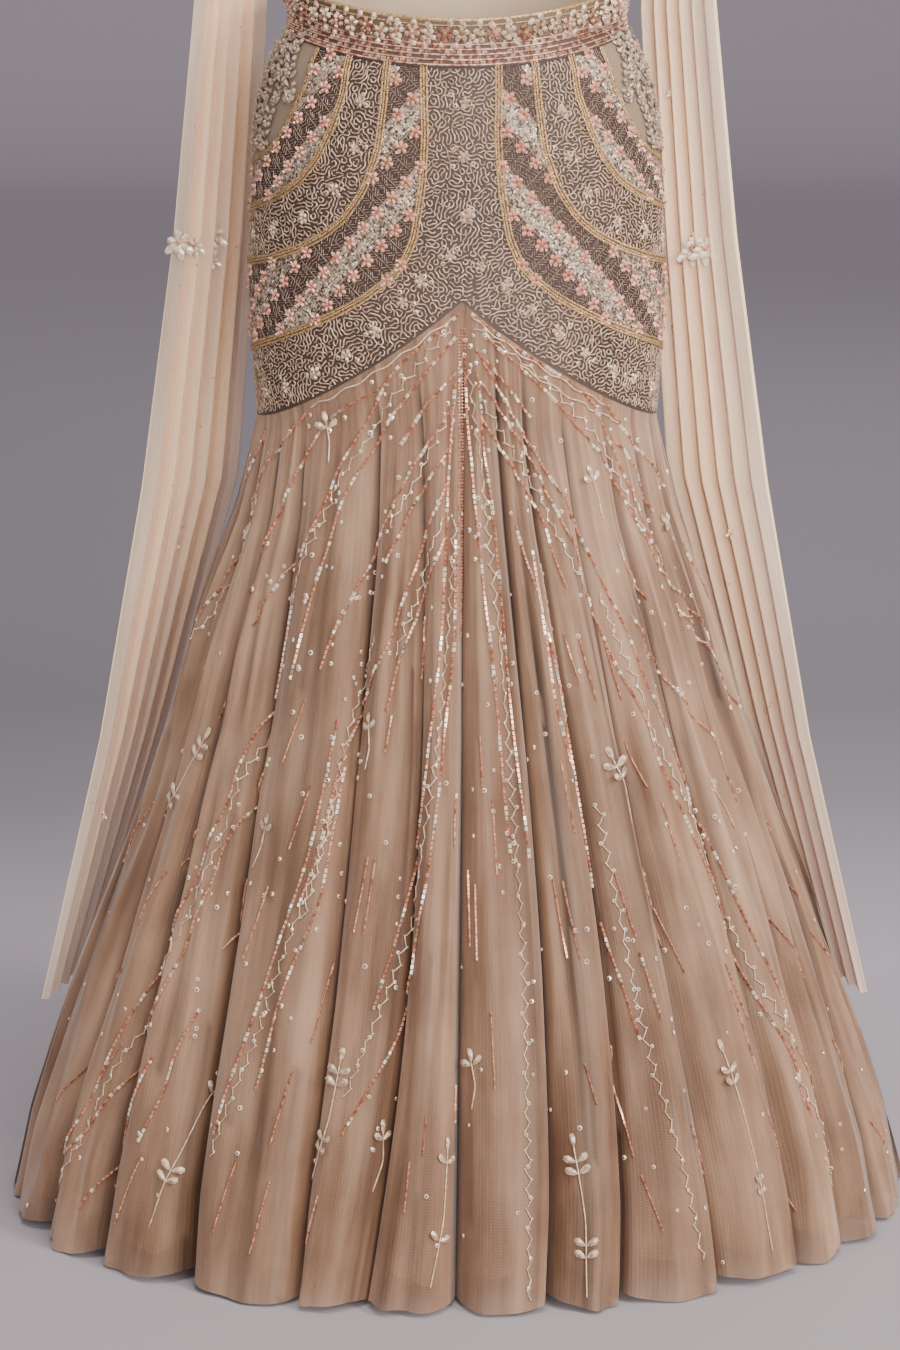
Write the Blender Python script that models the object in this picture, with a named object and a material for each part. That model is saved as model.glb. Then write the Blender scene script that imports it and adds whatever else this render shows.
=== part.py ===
import math

import bmesh
import bpy
import numpy as np

# Lehenga choli: flared net skirt on a fitted hip yoke, a short choli and two sheer shoulder panels.
# Metres, +Z up, the front faces -Y. The origin is the centre of the wearer's waist.
# An angle of 0 degrees is the centre front, +90 is the side at +X and 180 is the centre back.

# Driving dimensions
FLOOR_DROP = 1.058          # waist to hem
SEAM_GAP = 0.0003           # space between pieces that are sewn together
YOKE_WALL = 0.0020          # embroidered yoke with its backing
BAND_WALL = 0.0030          # stiffened waistband
NET_WALL = 0.0012           # layered net of the flare
LINING_WALL = 0.0012
CHOLI_WALL = 0.0016
PANEL_WALL = 0.0011

BAND_TOP_SIDE = 0.020       # height of the waistband's top edge at the side seams
BAND_TOP_DIP = 0.025        # how far the top edge drops to the centre front
BAND_HEIGHT = 0.0375
BAND_PROUD = 0.0010         # the band stands out from the yoke
CORD_BELT_HEIGHT = 0.0165   # rows of cord and bugle beads on the band's lower part
CORD_BELT_WALL = 0.0016
PIPING_RADIUS = 0.0016

YOKE_PEAK_DROP = 0.239      # lower edge of the yoke at the centre front and back
YOKE_SIDE_DROP = 0.350      # and at the side seams
YOKE_EDGE_POWER = 2.15
STRIP_HALF_WIDTH = 0.0030
STRIP_HEIGHT = 0.0016
STRIP_SEAT = 0.0008         # lets the strip pass over the yoke's flat facets

LINING_CLEARANCE = 0.012    # below the deepest fold of the net
LINING_HEM_DROP = 1.022
SIDE_STEP = 5.0             # degrees between the columns of the fitted pieces
ARC_STEP = 0.014            # longest fall of a cord strip between its rings

# Outline of the skirt: drop below the waist, half width, depth of the front, depth of the back
OUTLINE_COLUMNS = ("drop", "half_width", "front", "back")
OUTLINE = (
    (-0.030, 0.1445, 0.1035, 0.1035),
    (0.000, 0.1445, 0.1035, 0.1035),
    (0.020, 0.1467, 0.1060, 0.1060),
    (0.0435, 0.1607, 0.1115, 0.1150),
    (0.0835, 0.1711, 0.1180, 0.1220),
    (0.130, 0.1770, 0.1225, 0.1270),
    (0.178, 0.1802, 0.1260, 0.1310),
    (0.225, 0.1814, 0.1285, 0.1340),
    (0.271, 0.1800, 0.1318, 0.1358),
    (0.319, 0.1770, 0.1354, 0.1378),
    (0.350, 0.1750, 0.1380, 0.1390),
    (0.430, 0.1930, 0.1580, 0.1580),
    (0.520, 0.2240, 0.1880, 0.1900),
    (0.610, 0.2520, 0.2170, 0.2220),
    (0.700, 0.2830, 0.2480, 0.2540),
    (0.790, 0.3170, 0.2810, 0.2870),
    (0.885, 0.3510, 0.3140, 0.3200),
    (0.980, 0.3840, 0.3480, 0.3530),
    (1.058, 0.4030, 0.3700, 0.3740),
)

# Folds of the net in degrees round from the centre of their half: at the hem, halfway and at the
# yoke, then the depth at the hem and the width of the valley in degrees.
FOLD_COLUMNS = ("hem", "middle", "yoke", "depth", "width")
FRONT_FOLDS = (
    (-84.0, -84.0, -84.0, 0.034, 2.6),
    (-69.0, -70.0, -73.0, 0.036, 2.8),
    (-55.0, -57.0, -62.0, 0.044, 3.0),
    (-39.5, -44.0, -50.5, 0.054, 3.2),
    (-21.8, -21.8, -24.5, 0.058, 3.6),
    (-13.0, -8.6, -12.5, 0.032, 1.8),
    (-1.8, -0.6, 1.2, 0.050, 1.9),
    (9.8, 12.8, 9.0, 0.036, 1.8),
    (18.8, 22.2, 16.0, 0.036, 2.0),
    (33.4, 33.0, 29.0, 0.026, 3.2),
    (47.0, 49.0, 44.0, 0.032, 2.8),
    (58.0, 62.0, 58.0, 0.038, 2.8),
    (70.0, 73.0, 72.0, 0.036, 2.8),
    (83.5, 84.0, 84.0, 0.034, 2.6),
)
BACK_FOLDS = (
    (-83.5, -84.0, -84.0, 0.034, 2.6),
    (-70.0, -70.5, -71.0, 0.038, 2.8),
    (-56.0, -57.0, -58.0, 0.046, 2.8),
    (-43.5, -42.0, -43.0, 0.040, 2.6),
    (-29.0, -28.0, -28.5, 0.050, 2.8),
    (-15.0, -14.0, -14.0, 0.044, 2.6),
    (0.5, 0.0, 0.0, 0.052, 2.6),
    (14.0, 13.5, 14.0, 0.040, 2.6),
    (28.5, 29.5, 29.0, 0.050, 2.8),
    (43.0, 43.5, 43.0, 0.042, 2.6),
    (56.0, 57.5, 58.0, 0.046, 2.8),
    (70.5, 70.0, 71.0, 0.036, 2.8),
    (84.0, 84.0, 84.0, 0.034, 2.6),
)
LOBE_STEPS = (0.0, 0.13, 0.32, 0.68, 0.87)
FLARE_ROWS = (0.0, 0.04, 0.12, 0.25, 0.42, 0.60, 0.80, 1.0)

# Cord arcs laid on the yoke, the same on each side: degrees from the centre and drop.
ARC_COLUMNS = ("angle", "drop")
ARCS = {
    "inner": ((11.4, 0.0445), (10.2, 0.098), (10.7, 0.140), (12.9, 0.186), (16.5, 0.211), (21.0, 0.2235),
              (28.0, 0.239), (37.0, 0.2525), (48.0, 0.266), (62.0, 0.2775), (78.0, 0.287), (89.6, 0.2925)),
    "middle": ((23.1, 0.0415), (22.8, 0.075), (23.8, 0.1125), (27.6, 0.146), (33.5, 0.171), (40.5, 0.186),
               (50.0, 0.198), (64.0, 0.2085), (78.0, 0.214), (89.6, 0.2155)),
    "outer": ((37.0, 0.0375), (36.5, 0.0655), (39.0, 0.0925), (43.7, 0.121), (50.0, 0.1405), (58.5, 0.153),
              (70.0, 0.162), (81.0, 0.168), (89.6, 0.170)),
}

# Choli below the bust: height, half width, depth of the front, depth of the back
CHOLI_COLUMNS = ("height", "half_width", "front", "back")
CHOLI_RINGS = (
    (0.130, 0.128, 0.092, 0.092),
    (0.172, 0.133, 0.099, 0.090),
    (0.216, 0.143, 0.115, 0.086),
    (0.260, 0.151, 0.122, 0.085),
)
# Top edge of each choli half: degrees at the bust, then the point's x, depth and height.
EDGE_COLUMNS = ("angle", "x", "depth", "height")
FRONT_EDGE = (
    (0.0, 0.000, 0.088, 0.335),
    (11.0, 0.030, 0.086, 0.341),
    (19.0, 0.054, 0.077, 0.364),
    (25.0, 0.069, 0.048, 0.405),
    (29.0, 0.076, 0.000, 0.436),
    (38.0, 0.108, 0.000, 0.431),
    (46.0, 0.142, 0.000, 0.425),
    (51.0, 0.166, 0.000, 0.420),
    (57.0, 0.150, 0.036, 0.385),
    (64.0, 0.137, 0.060, 0.350),
    (73.0, 0.139, 0.054, 0.322),
    (82.0, 0.150, 0.027, 0.305),
    (90.0, 0.156, 0.000, 0.300),
)
BACK_EDGE = (
    (0.0, 0.000, 0.062, 0.402),
    (11.0, 0.030, 0.058, 0.404),
    (19.0, 0.054, 0.043, 0.414),
    (25.0, 0.069, 0.020, 0.428),
    (29.0, 0.076, 0.000, 0.436),
    (38.0, 0.108, 0.000, 0.431),
    (46.0, 0.142, 0.000, 0.425),
    (51.0, 0.166, 0.000, 0.420),
    (57.0, 0.152, 0.040, 0.385),
    (64.0, 0.141, 0.068, 0.350),
    (73.0, 0.143, 0.060, 0.322),
    (82.0, 0.151, 0.028, 0.305),
    (90.0, 0.156, 0.000, 0.300),
)
BUST_DART_ANGLE = 27.0
BUST_DART_FULLNESS = 0.010

# Shoulder panel at +X: height, x and y of the outer edge, x and y of the inner edge, fold size
PANEL_COLUMNS = ("height", "outer_x", "outer_y", "inner_x", "inner_y", "fold")
PANEL_ROWS = (
    (0.4247, 0.150, -0.004, 0.150, 0.028, 0.0000),
    (0.4218, 0.170, -0.002, 0.170, 0.034, 0.0000),
    (0.4000, 0.181, 0.012, 0.177, 0.048, 0.0010),
    (0.3300, 0.198, 0.034, 0.178, 0.078, 0.0050),
    (0.1500, 0.215, 0.036, 0.172, 0.088, 0.0090),
    (0.0000, 0.2284, 0.034, 0.165, 0.086, 0.0110),
    (-0.2000, 0.2486, 0.036, 0.180, 0.094, 0.0120),
    (-0.4200, 0.2790, 0.040, 0.205, 0.125, 0.0130),
    (-0.6500, 0.3200, 0.042, 0.268, 0.165, 0.0140),
    (-0.8940, 0.3770, 0.042, 0.335, 0.215, 0.0150),
)
PANEL_FOLDS = 7
STEPS_A_FOLD = 5


def table(rows, columns, key, value, name):
    """Straight-line value of one named column at a place in another."""
    keys = [row[columns.index(key)] for row in rows]
    values = [row[columns.index(name)] for row in rows]
    return np.interp(value, keys, values)


def outline_point(angle, drop, inset=0.0, back=False):
    """Point on the skirt's outline; the angle is measured from the centre of the half."""
    half_width = table(OUTLINE, OUTLINE_COLUMNS, "drop", drop, "half_width") - inset
    depth = table(OUTLINE, OUTLINE_COLUMNS, "drop", drop, "back" if back else "front") - inset
    turn = math.radians(angle)
    x = half_width * math.sin(turn)
    y = max(depth * math.cos(turn), SEAM_GAP / 2)
    return np.array((x, y if back else -y, -drop))


def band_top(angle):
    return BAND_TOP_SIDE - BAND_TOP_DIP * max(math.cos(math.radians(angle)), 0.0) ** 1.8


def back_band_top(angle):
    return BAND_TOP_SIDE - 0.004 * max(math.cos(math.radians(angle)), 0.0) ** 2


def band_heights(angle, back):
    """Heights of the waistband's top and lower edges."""
    top = back_band_top(angle) if back else band_top(angle)
    return top, top - BAND_HEIGHT


def yoke_edge_drop(angle):
    """Drop of the yoke's lower edge, an upside-down V on each half."""
    part = 1.0 - min(abs(angle) / 90.0, 1.0)
    return YOKE_SIDE_DROP - (YOKE_SIDE_DROP - YOKE_PEAK_DROP) * part ** YOKE_EDGE_POWER


def make_material(name, colour, roughness, metallic=0.0):
    material = bpy.data.materials.new(name)
    material.use_nodes = True
    shader = material.node_tree.nodes["Principled BSDF"]
    shader.inputs["Base Color"].default_value = (*colour, 1.0)
    shader.inputs["Roughness"].default_value = roughness
    shader.inputs["Metallic"].default_value = metallic
    material.diffuse_color = (*colour, 1.0)
    return material


def make_object(name, points, faces, material, smooth=True):
    mesh = bpy.data.meshes.new(name)
    mesh.from_pydata([tuple(point) for point in points], [], faces)
    work = bmesh.new()
    work.from_mesh(mesh)
    bmesh.ops.recalc_face_normals(work, faces=work.faces)
    work.to_mesh(mesh)
    work.free()
    if smooth:
        for polygon in mesh.polygons:
            polygon.use_smooth = True
    mesh.materials.append(material)
    created = bpy.data.objects.new(name, mesh)
    bpy.context.scene.collection.objects.link(created)
    return created


def surface_normals(grid, level, flat_rows, flat_seam):
    """Outward direction at each point of a grid that runs down its rows and round its columns."""
    down = np.gradient(grid, axis=0)
    across = np.gradient(grid, axis=1)
    normals = np.cross(down, across)
    if level:
        normals[..., 2] = 0.0
    normals[:, (0, -1), 1] = 0.0
    for row, column in flat_seam:
        normals[row, column, 1] = 0.0
    for row in flat_rows:
        normals[row, :, 2] = 0.0
    return normals / np.linalg.norm(normals, axis=2, keepdims=True)


def thick_sheet(name, grid, wall, material, level=False, open_sides=False, flat_rows=(), flat_seam=(),
                smooth=True):
    """Close a grid of outer points into one thin-walled body."""
    grid = np.asarray(grid, dtype=float)
    rows, columns = grid.shape[:2]
    if open_sides:
        down = np.gradient(grid, axis=0)
        across = np.gradient(grid, axis=1)
        normals = np.cross(down, across)
        normals /= np.linalg.norm(normals, axis=2, keepdims=True)
    else:
        normals = surface_normals(grid, level, flat_rows, flat_seam)
    inner = grid - normals * wall
    points = np.concatenate((grid.reshape(-1, 3), inner.reshape(-1, 3)))

    def outside(row, column):
        return row * columns + column

    def inside(row, column):
        return rows * columns + row * columns + column

    faces = []
    for row in range(rows - 1):
        for column in range(columns - 1):
            faces.append((outside(row, column), outside(row + 1, column),
                          outside(row + 1, column + 1), outside(row, column + 1)))
            faces.append((inside(row, column), inside(row, column + 1),
                          inside(row + 1, column + 1), inside(row + 1, column)))
    for column in range(columns - 1):
        for row in (0, rows - 1):
            faces.append((outside(row, column), outside(row, column + 1),
                          inside(row, column + 1), inside(row, column)))
    for row in range(rows - 1):
        for column in (0, columns - 1):
            faces.append((outside(row, column), outside(row + 1, column),
                          inside(row + 1, column), inside(row, column)))
    return make_object(name, points, faces, material, smooth)


def lofted_strip(name, rings, material):
    """Join rings of equal point count into one closed bar."""
    count = len(rings[0])
    points = [point for ring in rings for point in ring]
    faces = []
    for index in range(len(rings) - 1):
        for corner in range(count):
            following = (corner + 1) % count
            faces.append((index * count + corner, index * count + following,
                          (index + 1) * count + following, (index + 1) * count + corner))
    faces.append(tuple(range(count)))
    faces.append(tuple((len(rings) - 1) * count + corner for corner in range(count)))
    return make_object(name, points, faces, material)


def fitted_angles():
    return np.arange(-90.0, 90.0 + SIDE_STEP / 2, SIDE_STEP)


def waistband(back, material):
    grid = []
    for share in (0.0, 0.5, 1.0):
        row = []
        for angle in fitted_angles():
            top, foot = band_heights(angle, back)
            height = top + (foot + SEAM_GAP / 2 - top) * share
            row.append(outline_point(angle, -height, -BAND_PROUD, back))
        grid.append(row)
    name = "waistband_back" if back else "waistband_front"
    return thick_sheet(name, facing_out(grid, back), BAND_WALL, material, level=True)


def facing_out(grid, back):
    """Turn a back half round, so that its columns run the same way about the body."""
    return [row[::-1] for row in grid] if back else grid


def belt_of_cords(back, material):
    grid = []
    for share in (0.0, 1.0):
        row = []
        for angle in fitted_angles():
            foot = band_heights(angle, back)[1]
            height = foot + 0.0012 + (CORD_BELT_HEIGHT - 0.0012) * (1.0 - share)
            row.append(outline_point(angle, -height, -(BAND_PROUD + 2 * SEAM_GAP + CORD_BELT_WALL), back))
        grid.append(row)
    name = "waist_cords_back" if back else "waist_cords_front"
    return thick_sheet(name, facing_out(grid, back), CORD_BELT_WALL, material, level=True)


def piping(back, material):
    rings = []
    lift = PIPING_RADIUS + SEAM_GAP
    for angle in fitted_angles():
        top = band_heights(angle, back)[0]
        middle = outline_point(angle, -top, BAND_WALL / 2 - BAND_PROUD, back)
        outward = outline_point(angle, -top, -0.010, back) - outline_point(angle, -top, 0.0, back)
        outward[1] = 0.0 if abs(angle) > 89.0 else outward[1]
        outward /= np.linalg.norm(outward)
        ring = []
        for corner in range(5):
            turn = math.tau * corner / 5 + math.tau / 20
            ring.append(middle + outward * (PIPING_RADIUS * math.cos(turn))
                        + np.array((0.0, 0.0, lift + PIPING_RADIUS * math.sin(turn))))
        rings.append(ring)
    return lofted_strip("waist_piping_back" if back else "waist_piping_front", rings, material)


def yoke(back, material):
    grid = []
    for share in (0.0, 0.08, 0.2, 0.4, 0.6, 0.8, 1.0):
        row = []
        for angle in fitted_angles():
            start = -band_heights(angle, back)[1] + SEAM_GAP / 2
            end = yoke_edge_drop(angle) - SEAM_GAP / 2
            row.append(outline_point(angle, start + (end - start) * share, 0.0, back))
        grid.append(row)
    name = "yoke_back" if back else "yoke_front"
    return thick_sheet(name, facing_out(grid, back), YOKE_WALL, material, level=True)


def fold_place(fold, share):
    """Angle of a fold a share of the way from the yoke to the hem."""
    hem, middle, top = (fold[FOLD_COLUMNS.index(name)] for name in ("hem", "middle", "yoke"))
    return np.interp(share, (0.0, 0.5, 1.0), (top, middle, hem))


def flare_columns(folds):
    """Each column as its left fold, its right fold and the share between them."""
    columns = [(None, folds[0], 0.0), (None, folds[0], 0.6)]
    for left, right in zip(folds[:-1], folds[1:]):
        columns += [(left, right, step) for step in LOBE_STEPS]
    columns += [(folds[-1], None, 0.0), (folds[-1], None, 0.4), (folds[-1], None, 1.0)]
    return columns


def flare_point(left, right, step, share, back):
    """Point of the net on one column, a share of the way down to the hem."""
    start = -90.0 if left is None else fold_place(left, share)
    end = 90.0 if right is None else fold_place(right, share)
    angle = start + (end - start) * step
    depth = 0.0
    for fold, away in ((left, step), (right, 1.0 - step)):
        if fold is None:
            continue
        width = fold[FOLD_COLUMNS.index("width")]
        distance = away * (end - start) / width
        depth += fold[FOLD_COLUMNS.index("depth")] * math.exp(-distance ** 1.5)
    depth *= share ** 0.9
    first = yoke_edge_drop(angle) + SEAM_GAP / 2
    drop = first + (FLOOR_DROP - first) * share
    return outline_point(angle, drop, depth, back)


def flare(back, material):
    folds = BACK_FOLDS if back else FRONT_FOLDS
    columns = flare_columns(folds)
    grid = [[flare_point(left, right, step, share, back) for left, right, step in columns]
            for share in FLARE_ROWS]
    name = "flare_back" if back else "flare_front"
    return thick_sheet(name, facing_out(grid, back), NET_WALL, material, level=True)


def lining(back, material):
    deepest = max(fold[FOLD_COLUMNS.index("depth")] for fold in FRONT_FOLDS + BACK_FOLDS)
    base = YOKE_WALL + SEAM_GAP
    grid = []
    for share in (-0.01, 0.0, 0.10, 0.25, 0.45, 1.0):
        row = []
        for angle in fitted_angles():
            first = yoke_edge_drop(angle)
            drop = first + (LINING_HEM_DROP - first) * share
            inset = base + (deepest + LINING_CLEARANCE) * max(share, 0.0) ** 0.7
            row.append(outline_point(angle, drop, inset, back))
        grid.append(row)
    name = "lining_back" if back else "lining_front"
    return thick_sheet(name, facing_out(grid, back), LINING_WALL, material, level=True)


def fine_arc(arc):
    """The arc's table with more places, so that the strip bends with the yoke."""
    places = [arc[0]]
    for start, end in zip(arc[:-1], arc[1:]):
        turning = abs(end[0] - start[0]) / SIDE_STEP
        falling = abs(end[1] - start[1]) / ARC_STEP
        parts = max(1, math.ceil(turning), math.ceil(falling))
        for part in range(1, parts + 1):
            share = part / parts
            places.append((start[0] + (end[0] - start[0]) * share,
                           start[1] + (end[1] - start[1]) * share))
    return places


def arc_strip(name, arc, side, back, material):
    """Flat cord strip seated on the yoke along one arc."""
    arc = fine_arc(arc)
    middle = [outline_point(side * angle, drop, 0.0, back) for angle, drop in arc]
    along = np.gradient(np.array(middle), axis=0)
    rings = []
    for index, (angle, drop) in enumerate(arc):
        raised = outline_point(side * angle, drop, -0.010, back)
        outward = raised - middle[index]
        outward /= np.linalg.norm(outward)
        across = np.cross(along[index], outward)
        if index == len(arc) - 1:
            across[1] = 0.0
        if index == 0:
            across = np.array((across[0], across[1], 0.0))
        across /= np.linalg.norm(across)
        seat = middle[index] + outward * STRIP_SEAT
        ring = []
        for reach, lift in ((-1.0, 0.0), (1.0, 0.0), (0.75, 1.0), (-0.75, 1.0)):
            ring.append(seat + across * (STRIP_HALF_WIDTH * reach) + outward * (STRIP_HEIGHT * lift))
        rings.append(ring)
    return lofted_strip(name, rings, material)


def choli_half(back, material):
    edge = BACK_EDGE if back else FRONT_EDGE
    sign = 1.0 if back else -1.0
    depth_name = "back" if back else "front"
    angles = [row[0] for row in edge]
    angles = [-angle for angle in reversed(angles)] + angles[1:]
    grid = []
    for share in (1.0, 0.75, 0.5, 0.25):
        row = []
        for angle in angles:
            top = np.array([table(edge, EDGE_COLUMNS, "angle", abs(angle), name)
                            for name in ("x", "depth", "height")])
            bust = ring_point(abs(angle), CHOLI_RINGS[-1][0], depth_name)
            bend = np.array(((bust[0] + top[0]) / 2, bust[1] * 0.95,
                             bust[2] + 0.72 * (top[2] - bust[2])))
            if abs(angle) > 60.0:
                bend = (bust + top) / 2
            x, depth, height = ((1 - share) ** 2 * bust + 2 * share * (1 - share) * bend
                                + share ** 2 * top)
            depth = max(depth, SEAM_GAP / 2)
            row.append((math.copysign(x, angle) if angle else 0.0, sign * depth, height))
        grid.append(row)
    for ring in reversed(CHOLI_RINGS):
        row = []
        for angle in angles:
            x, depth, height = ring_point(abs(angle), ring[0], depth_name)
            row.append((math.copysign(x, angle) if angle else 0.0,
                        sign * max(depth, SEAM_GAP / 2), height))
        grid.append(row)
    shoulder = [(0, index) for index, angle in enumerate(angles) if 28.0 < abs(angle) < 52.0]
    name = "choli_back" if back else "choli_front"
    return thick_sheet(name, facing_out(grid, back), CHOLI_WALL, material, flat_seam=shoulder)


def ring_point(angle, height, depth_name):
    """Point on the choli below the bust, with the fullness that the darts give."""
    half_width = table(CHOLI_RINGS, CHOLI_COLUMNS, "height", height, "half_width")
    depth = table(CHOLI_RINGS, CHOLI_COLUMNS, "height", height, depth_name)
    if depth_name == "front":
        near = math.exp(-((angle - BUST_DART_ANGLE) / 16.0) ** 2)
        level = math.exp(-((height - 0.255) / 0.045) ** 2)
        depth += BUST_DART_FULLNESS * near * level
    turn = math.radians(angle)
    return np.array((half_width * math.sin(turn), depth * math.cos(turn), height))


def shoulder_panel(side, material):
    """Sheer panel with soft hanging folds, gathered on the shoulder."""
    steps = PANEL_FOLDS * STEPS_A_FOLD
    grid = []
    for height, outer_x, outer_y, inner_x, inner_y, fold in PANEL_ROWS:
        outer = np.array((outer_x, outer_y, height))
        inner = np.array((inner_x, inner_y, height))
        away = np.array((inner_y - outer_y, outer_x - inner_x, 0.0))
        away /= np.linalg.norm(away)
        row = []
        for step in range(steps + 1):
            share = step / steps
            wave = fold * math.cos(math.tau * PANEL_FOLDS * share)
            point = outer + (inner - outer) * share + away * wave
            row.append((side * point[0], point[1], point[2]))
        grid.append(row if side > 0 else row[::-1])
    name = "cape_right" if side > 0 else "cape_left"
    return thick_sheet(name, grid, PANEL_WALL, material, open_sides=True)


for existing in list(bpy.data.objects):
    bpy.data.objects.remove(existing, do_unlink=True)

yoke_cloth = make_material("yoke_cloth", (0.335, 0.215, 0.150), 0.62)
net_cloth = make_material("net_cloth", (0.440, 0.290, 0.205), 0.55)
lining_cloth = make_material("lining_cloth", (0.360, 0.240, 0.175), 0.60)
band_beadwork = make_material("band_beadwork", (0.520, 0.420, 0.370), 0.38, 0.35)
gold_cord = make_material("gold_cord", (0.500, 0.300, 0.130), 0.35, 0.70)
rose_cord = make_material("rose_cord", (0.560, 0.270, 0.190), 0.35, 0.70)
choli_cloth = make_material("choli_cloth", (0.420, 0.280, 0.205), 0.60)
sheer_net = make_material("sheer_net", (0.720, 0.580, 0.480), 0.50)

for is_back in (False, True):
    waistband(is_back, band_beadwork)
    belt_of_cords(is_back, rose_cord)
    piping(is_back, gold_cord)
    yoke(is_back, yoke_cloth)
    flare(is_back, net_cloth)
    lining(is_back, lining_cloth)
    choli_half(is_back, choli_cloth)
    for arc_name, arc_rows in ARCS.items():
        for side_name, side_sign in (("left", -1.0), ("right", 1.0)):
            half = "back" if is_back else "front"
            arc_strip(f"cord_{arc_name}_{half}_{side_name}", arc_rows, side_sign, is_back, gold_cord)
shoulder_panel(1.0, sheer_net)
shoulder_panel(-1.0, sheer_net)
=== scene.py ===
import math

import bpy
import numpy as np
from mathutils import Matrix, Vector


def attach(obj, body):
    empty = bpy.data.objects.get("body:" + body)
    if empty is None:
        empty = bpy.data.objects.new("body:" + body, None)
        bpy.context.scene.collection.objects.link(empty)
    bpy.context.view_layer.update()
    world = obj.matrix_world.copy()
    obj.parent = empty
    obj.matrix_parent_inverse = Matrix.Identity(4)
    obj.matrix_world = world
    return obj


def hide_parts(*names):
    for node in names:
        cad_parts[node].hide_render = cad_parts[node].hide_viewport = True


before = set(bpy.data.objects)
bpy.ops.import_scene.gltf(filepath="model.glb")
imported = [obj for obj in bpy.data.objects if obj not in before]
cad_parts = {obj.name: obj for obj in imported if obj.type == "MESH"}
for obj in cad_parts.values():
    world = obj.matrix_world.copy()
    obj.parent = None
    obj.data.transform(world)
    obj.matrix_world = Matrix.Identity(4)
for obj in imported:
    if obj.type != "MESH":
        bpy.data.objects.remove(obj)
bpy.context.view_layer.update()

# Lehenga choli dressed as photographed: metres, +Z up, the front faces -Y.
# An angle of 0 degrees is the centre of a half, 90 its side seam at +X; drop is the way down from the waist.

FLOOR_DROP = 1.058
BAND_TOP_SIDE = 0.020
BAND_TOP_DIP = 0.025
BAND_HEIGHT = 0.0375
YOKE_PEAK_DROP = 0.239
YOKE_SIDE_DROP = 0.350
YOKE_EDGE_POWER = 2.15
SEAM_GAP = 0.0003

# Outline of the skirt: drop, half width, depth of the front, depth of the back
OUTLINE = np.array((
    (-0.030, 0.1445, 0.1035, 0.1035),
    (0.000, 0.1445, 0.1035, 0.1035),
    (0.020, 0.1467, 0.1060, 0.1060),
    (0.0435, 0.1607, 0.1115, 0.1150),
    (0.0835, 0.1711, 0.1180, 0.1220),
    (0.130, 0.1770, 0.1225, 0.1270),
    (0.178, 0.1802, 0.1260, 0.1310),
    (0.225, 0.1814, 0.1285, 0.1340),
    (0.271, 0.1800, 0.1318, 0.1358),
    (0.319, 0.1770, 0.1354, 0.1378),
    (0.350, 0.1750, 0.1380, 0.1390),
    (0.430, 0.1930, 0.1580, 0.1580),
    (0.520, 0.2240, 0.1880, 0.1900),
    (0.610, 0.2520, 0.2170, 0.2220),
    (0.700, 0.2830, 0.2480, 0.2540),
    (0.790, 0.3170, 0.2810, 0.2870),
    (0.885, 0.3510, 0.3140, 0.3200),
    (0.980, 0.3840, 0.3480, 0.3530),
    (1.058, 0.4030, 0.3700, 0.3740),
))
FINE_DROPS = np.arange(-0.030, 1.0601, 0.002)

# Folds of the net: degrees at the hem, halfway and at the yoke, depth at the hem, and how far the
# lobe after the fold leans over, in degrees.
FOLDS = {
    "front": np.array((
        (-84.0, -84.0, -84.0, 0.034, 0.0),
        (-69.0, -70.0, -73.0, 0.036, 1.0),
        (-55.0, -57.0, -62.0, 0.044, 1.0),
        (-39.5, -44.0, -50.5, 0.054, 1.5),
        (-21.8, -21.8, -24.5, 0.058, -1.6),
        (-13.0, -8.6, -12.5, 0.032, -1.0),
        (-1.8, -0.6, 1.2, 0.050, 0.6),
        (9.8, 12.8, 9.0, 0.036, 1.2),
        (18.8, 22.2, 16.0, 0.036, 1.0),
        (33.4, 33.0, 29.0, 0.026, 0.8),
        (47.0, 49.0, 44.0, 0.032, -0.8),
        (58.0, 62.0, 58.0, 0.038, -1.0),
        (70.0, 73.0, 72.0, 0.036, -1.0),
        (83.5, 84.0, 84.0, 0.034, 0.0),
    )),
    "back": np.array((
        (-83.5, -84.0, -84.0, 0.034, 0.0),
        (-70.0, -70.5, -71.0, 0.038, 1.0),
        (-56.0, -57.0, -58.0, 0.046, -1.0),
        (-43.5, -42.0, -43.0, 0.040, 1.2),
        (-29.0, -28.0, -28.5, 0.050, 0.8),
        (-15.0, -14.0, -14.0, 0.044, -1.0),
        (0.5, 0.0, 0.0, 0.052, 0.8),
        (14.0, 13.5, 14.0, 0.040, 1.0),
        (28.5, 29.5, 29.0, 0.050, -1.0),
        (43.0, 43.5, 43.0, 0.042, 1.0),
        (56.0, 57.5, 58.0, 0.046, -0.8),
        (70.5, 70.0, 71.0, 0.036, -1.0),
        (84.0, 84.0, 84.0, 0.034, 0.0),
    )),
}
SIDE = {"front": -1.0, "back": 1.0}
HALVES = ("front", "back")

chance = np.random.default_rng(7)


# Shapes worked out from the sizes

def running_total(lengths):
    return np.concatenate(((0.0,), np.cumsum(lengths)))


def distances(path):
    """Distance of each point of a path from its start, along the path."""
    return running_total(np.linalg.norm(np.diff(path, axis=0), axis=1))


def read_at(places, steps, values):
    """Rows of a table read at places between its steps."""
    return np.stack([np.interp(places, steps, column) for column in values.T], -1)


def smoothed(values, reach=7):
    """Round the corners of a table that is read at even steps."""
    weights = np.hanning(2 * reach + 1)
    weights /= weights.sum()
    padded = np.concatenate((np.full(reach, values[0]), values, np.full(reach, values[-1])))
    return np.convolve(padded, weights, mode="valid")


FINE_OUTLINE = {
    name: smoothed(np.interp(FINE_DROPS, OUTLINE[:, 0], OUTLINE[:, column]))
    for name, column in (("width", 1), ("front", 2), ("back", 3))
}


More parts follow.
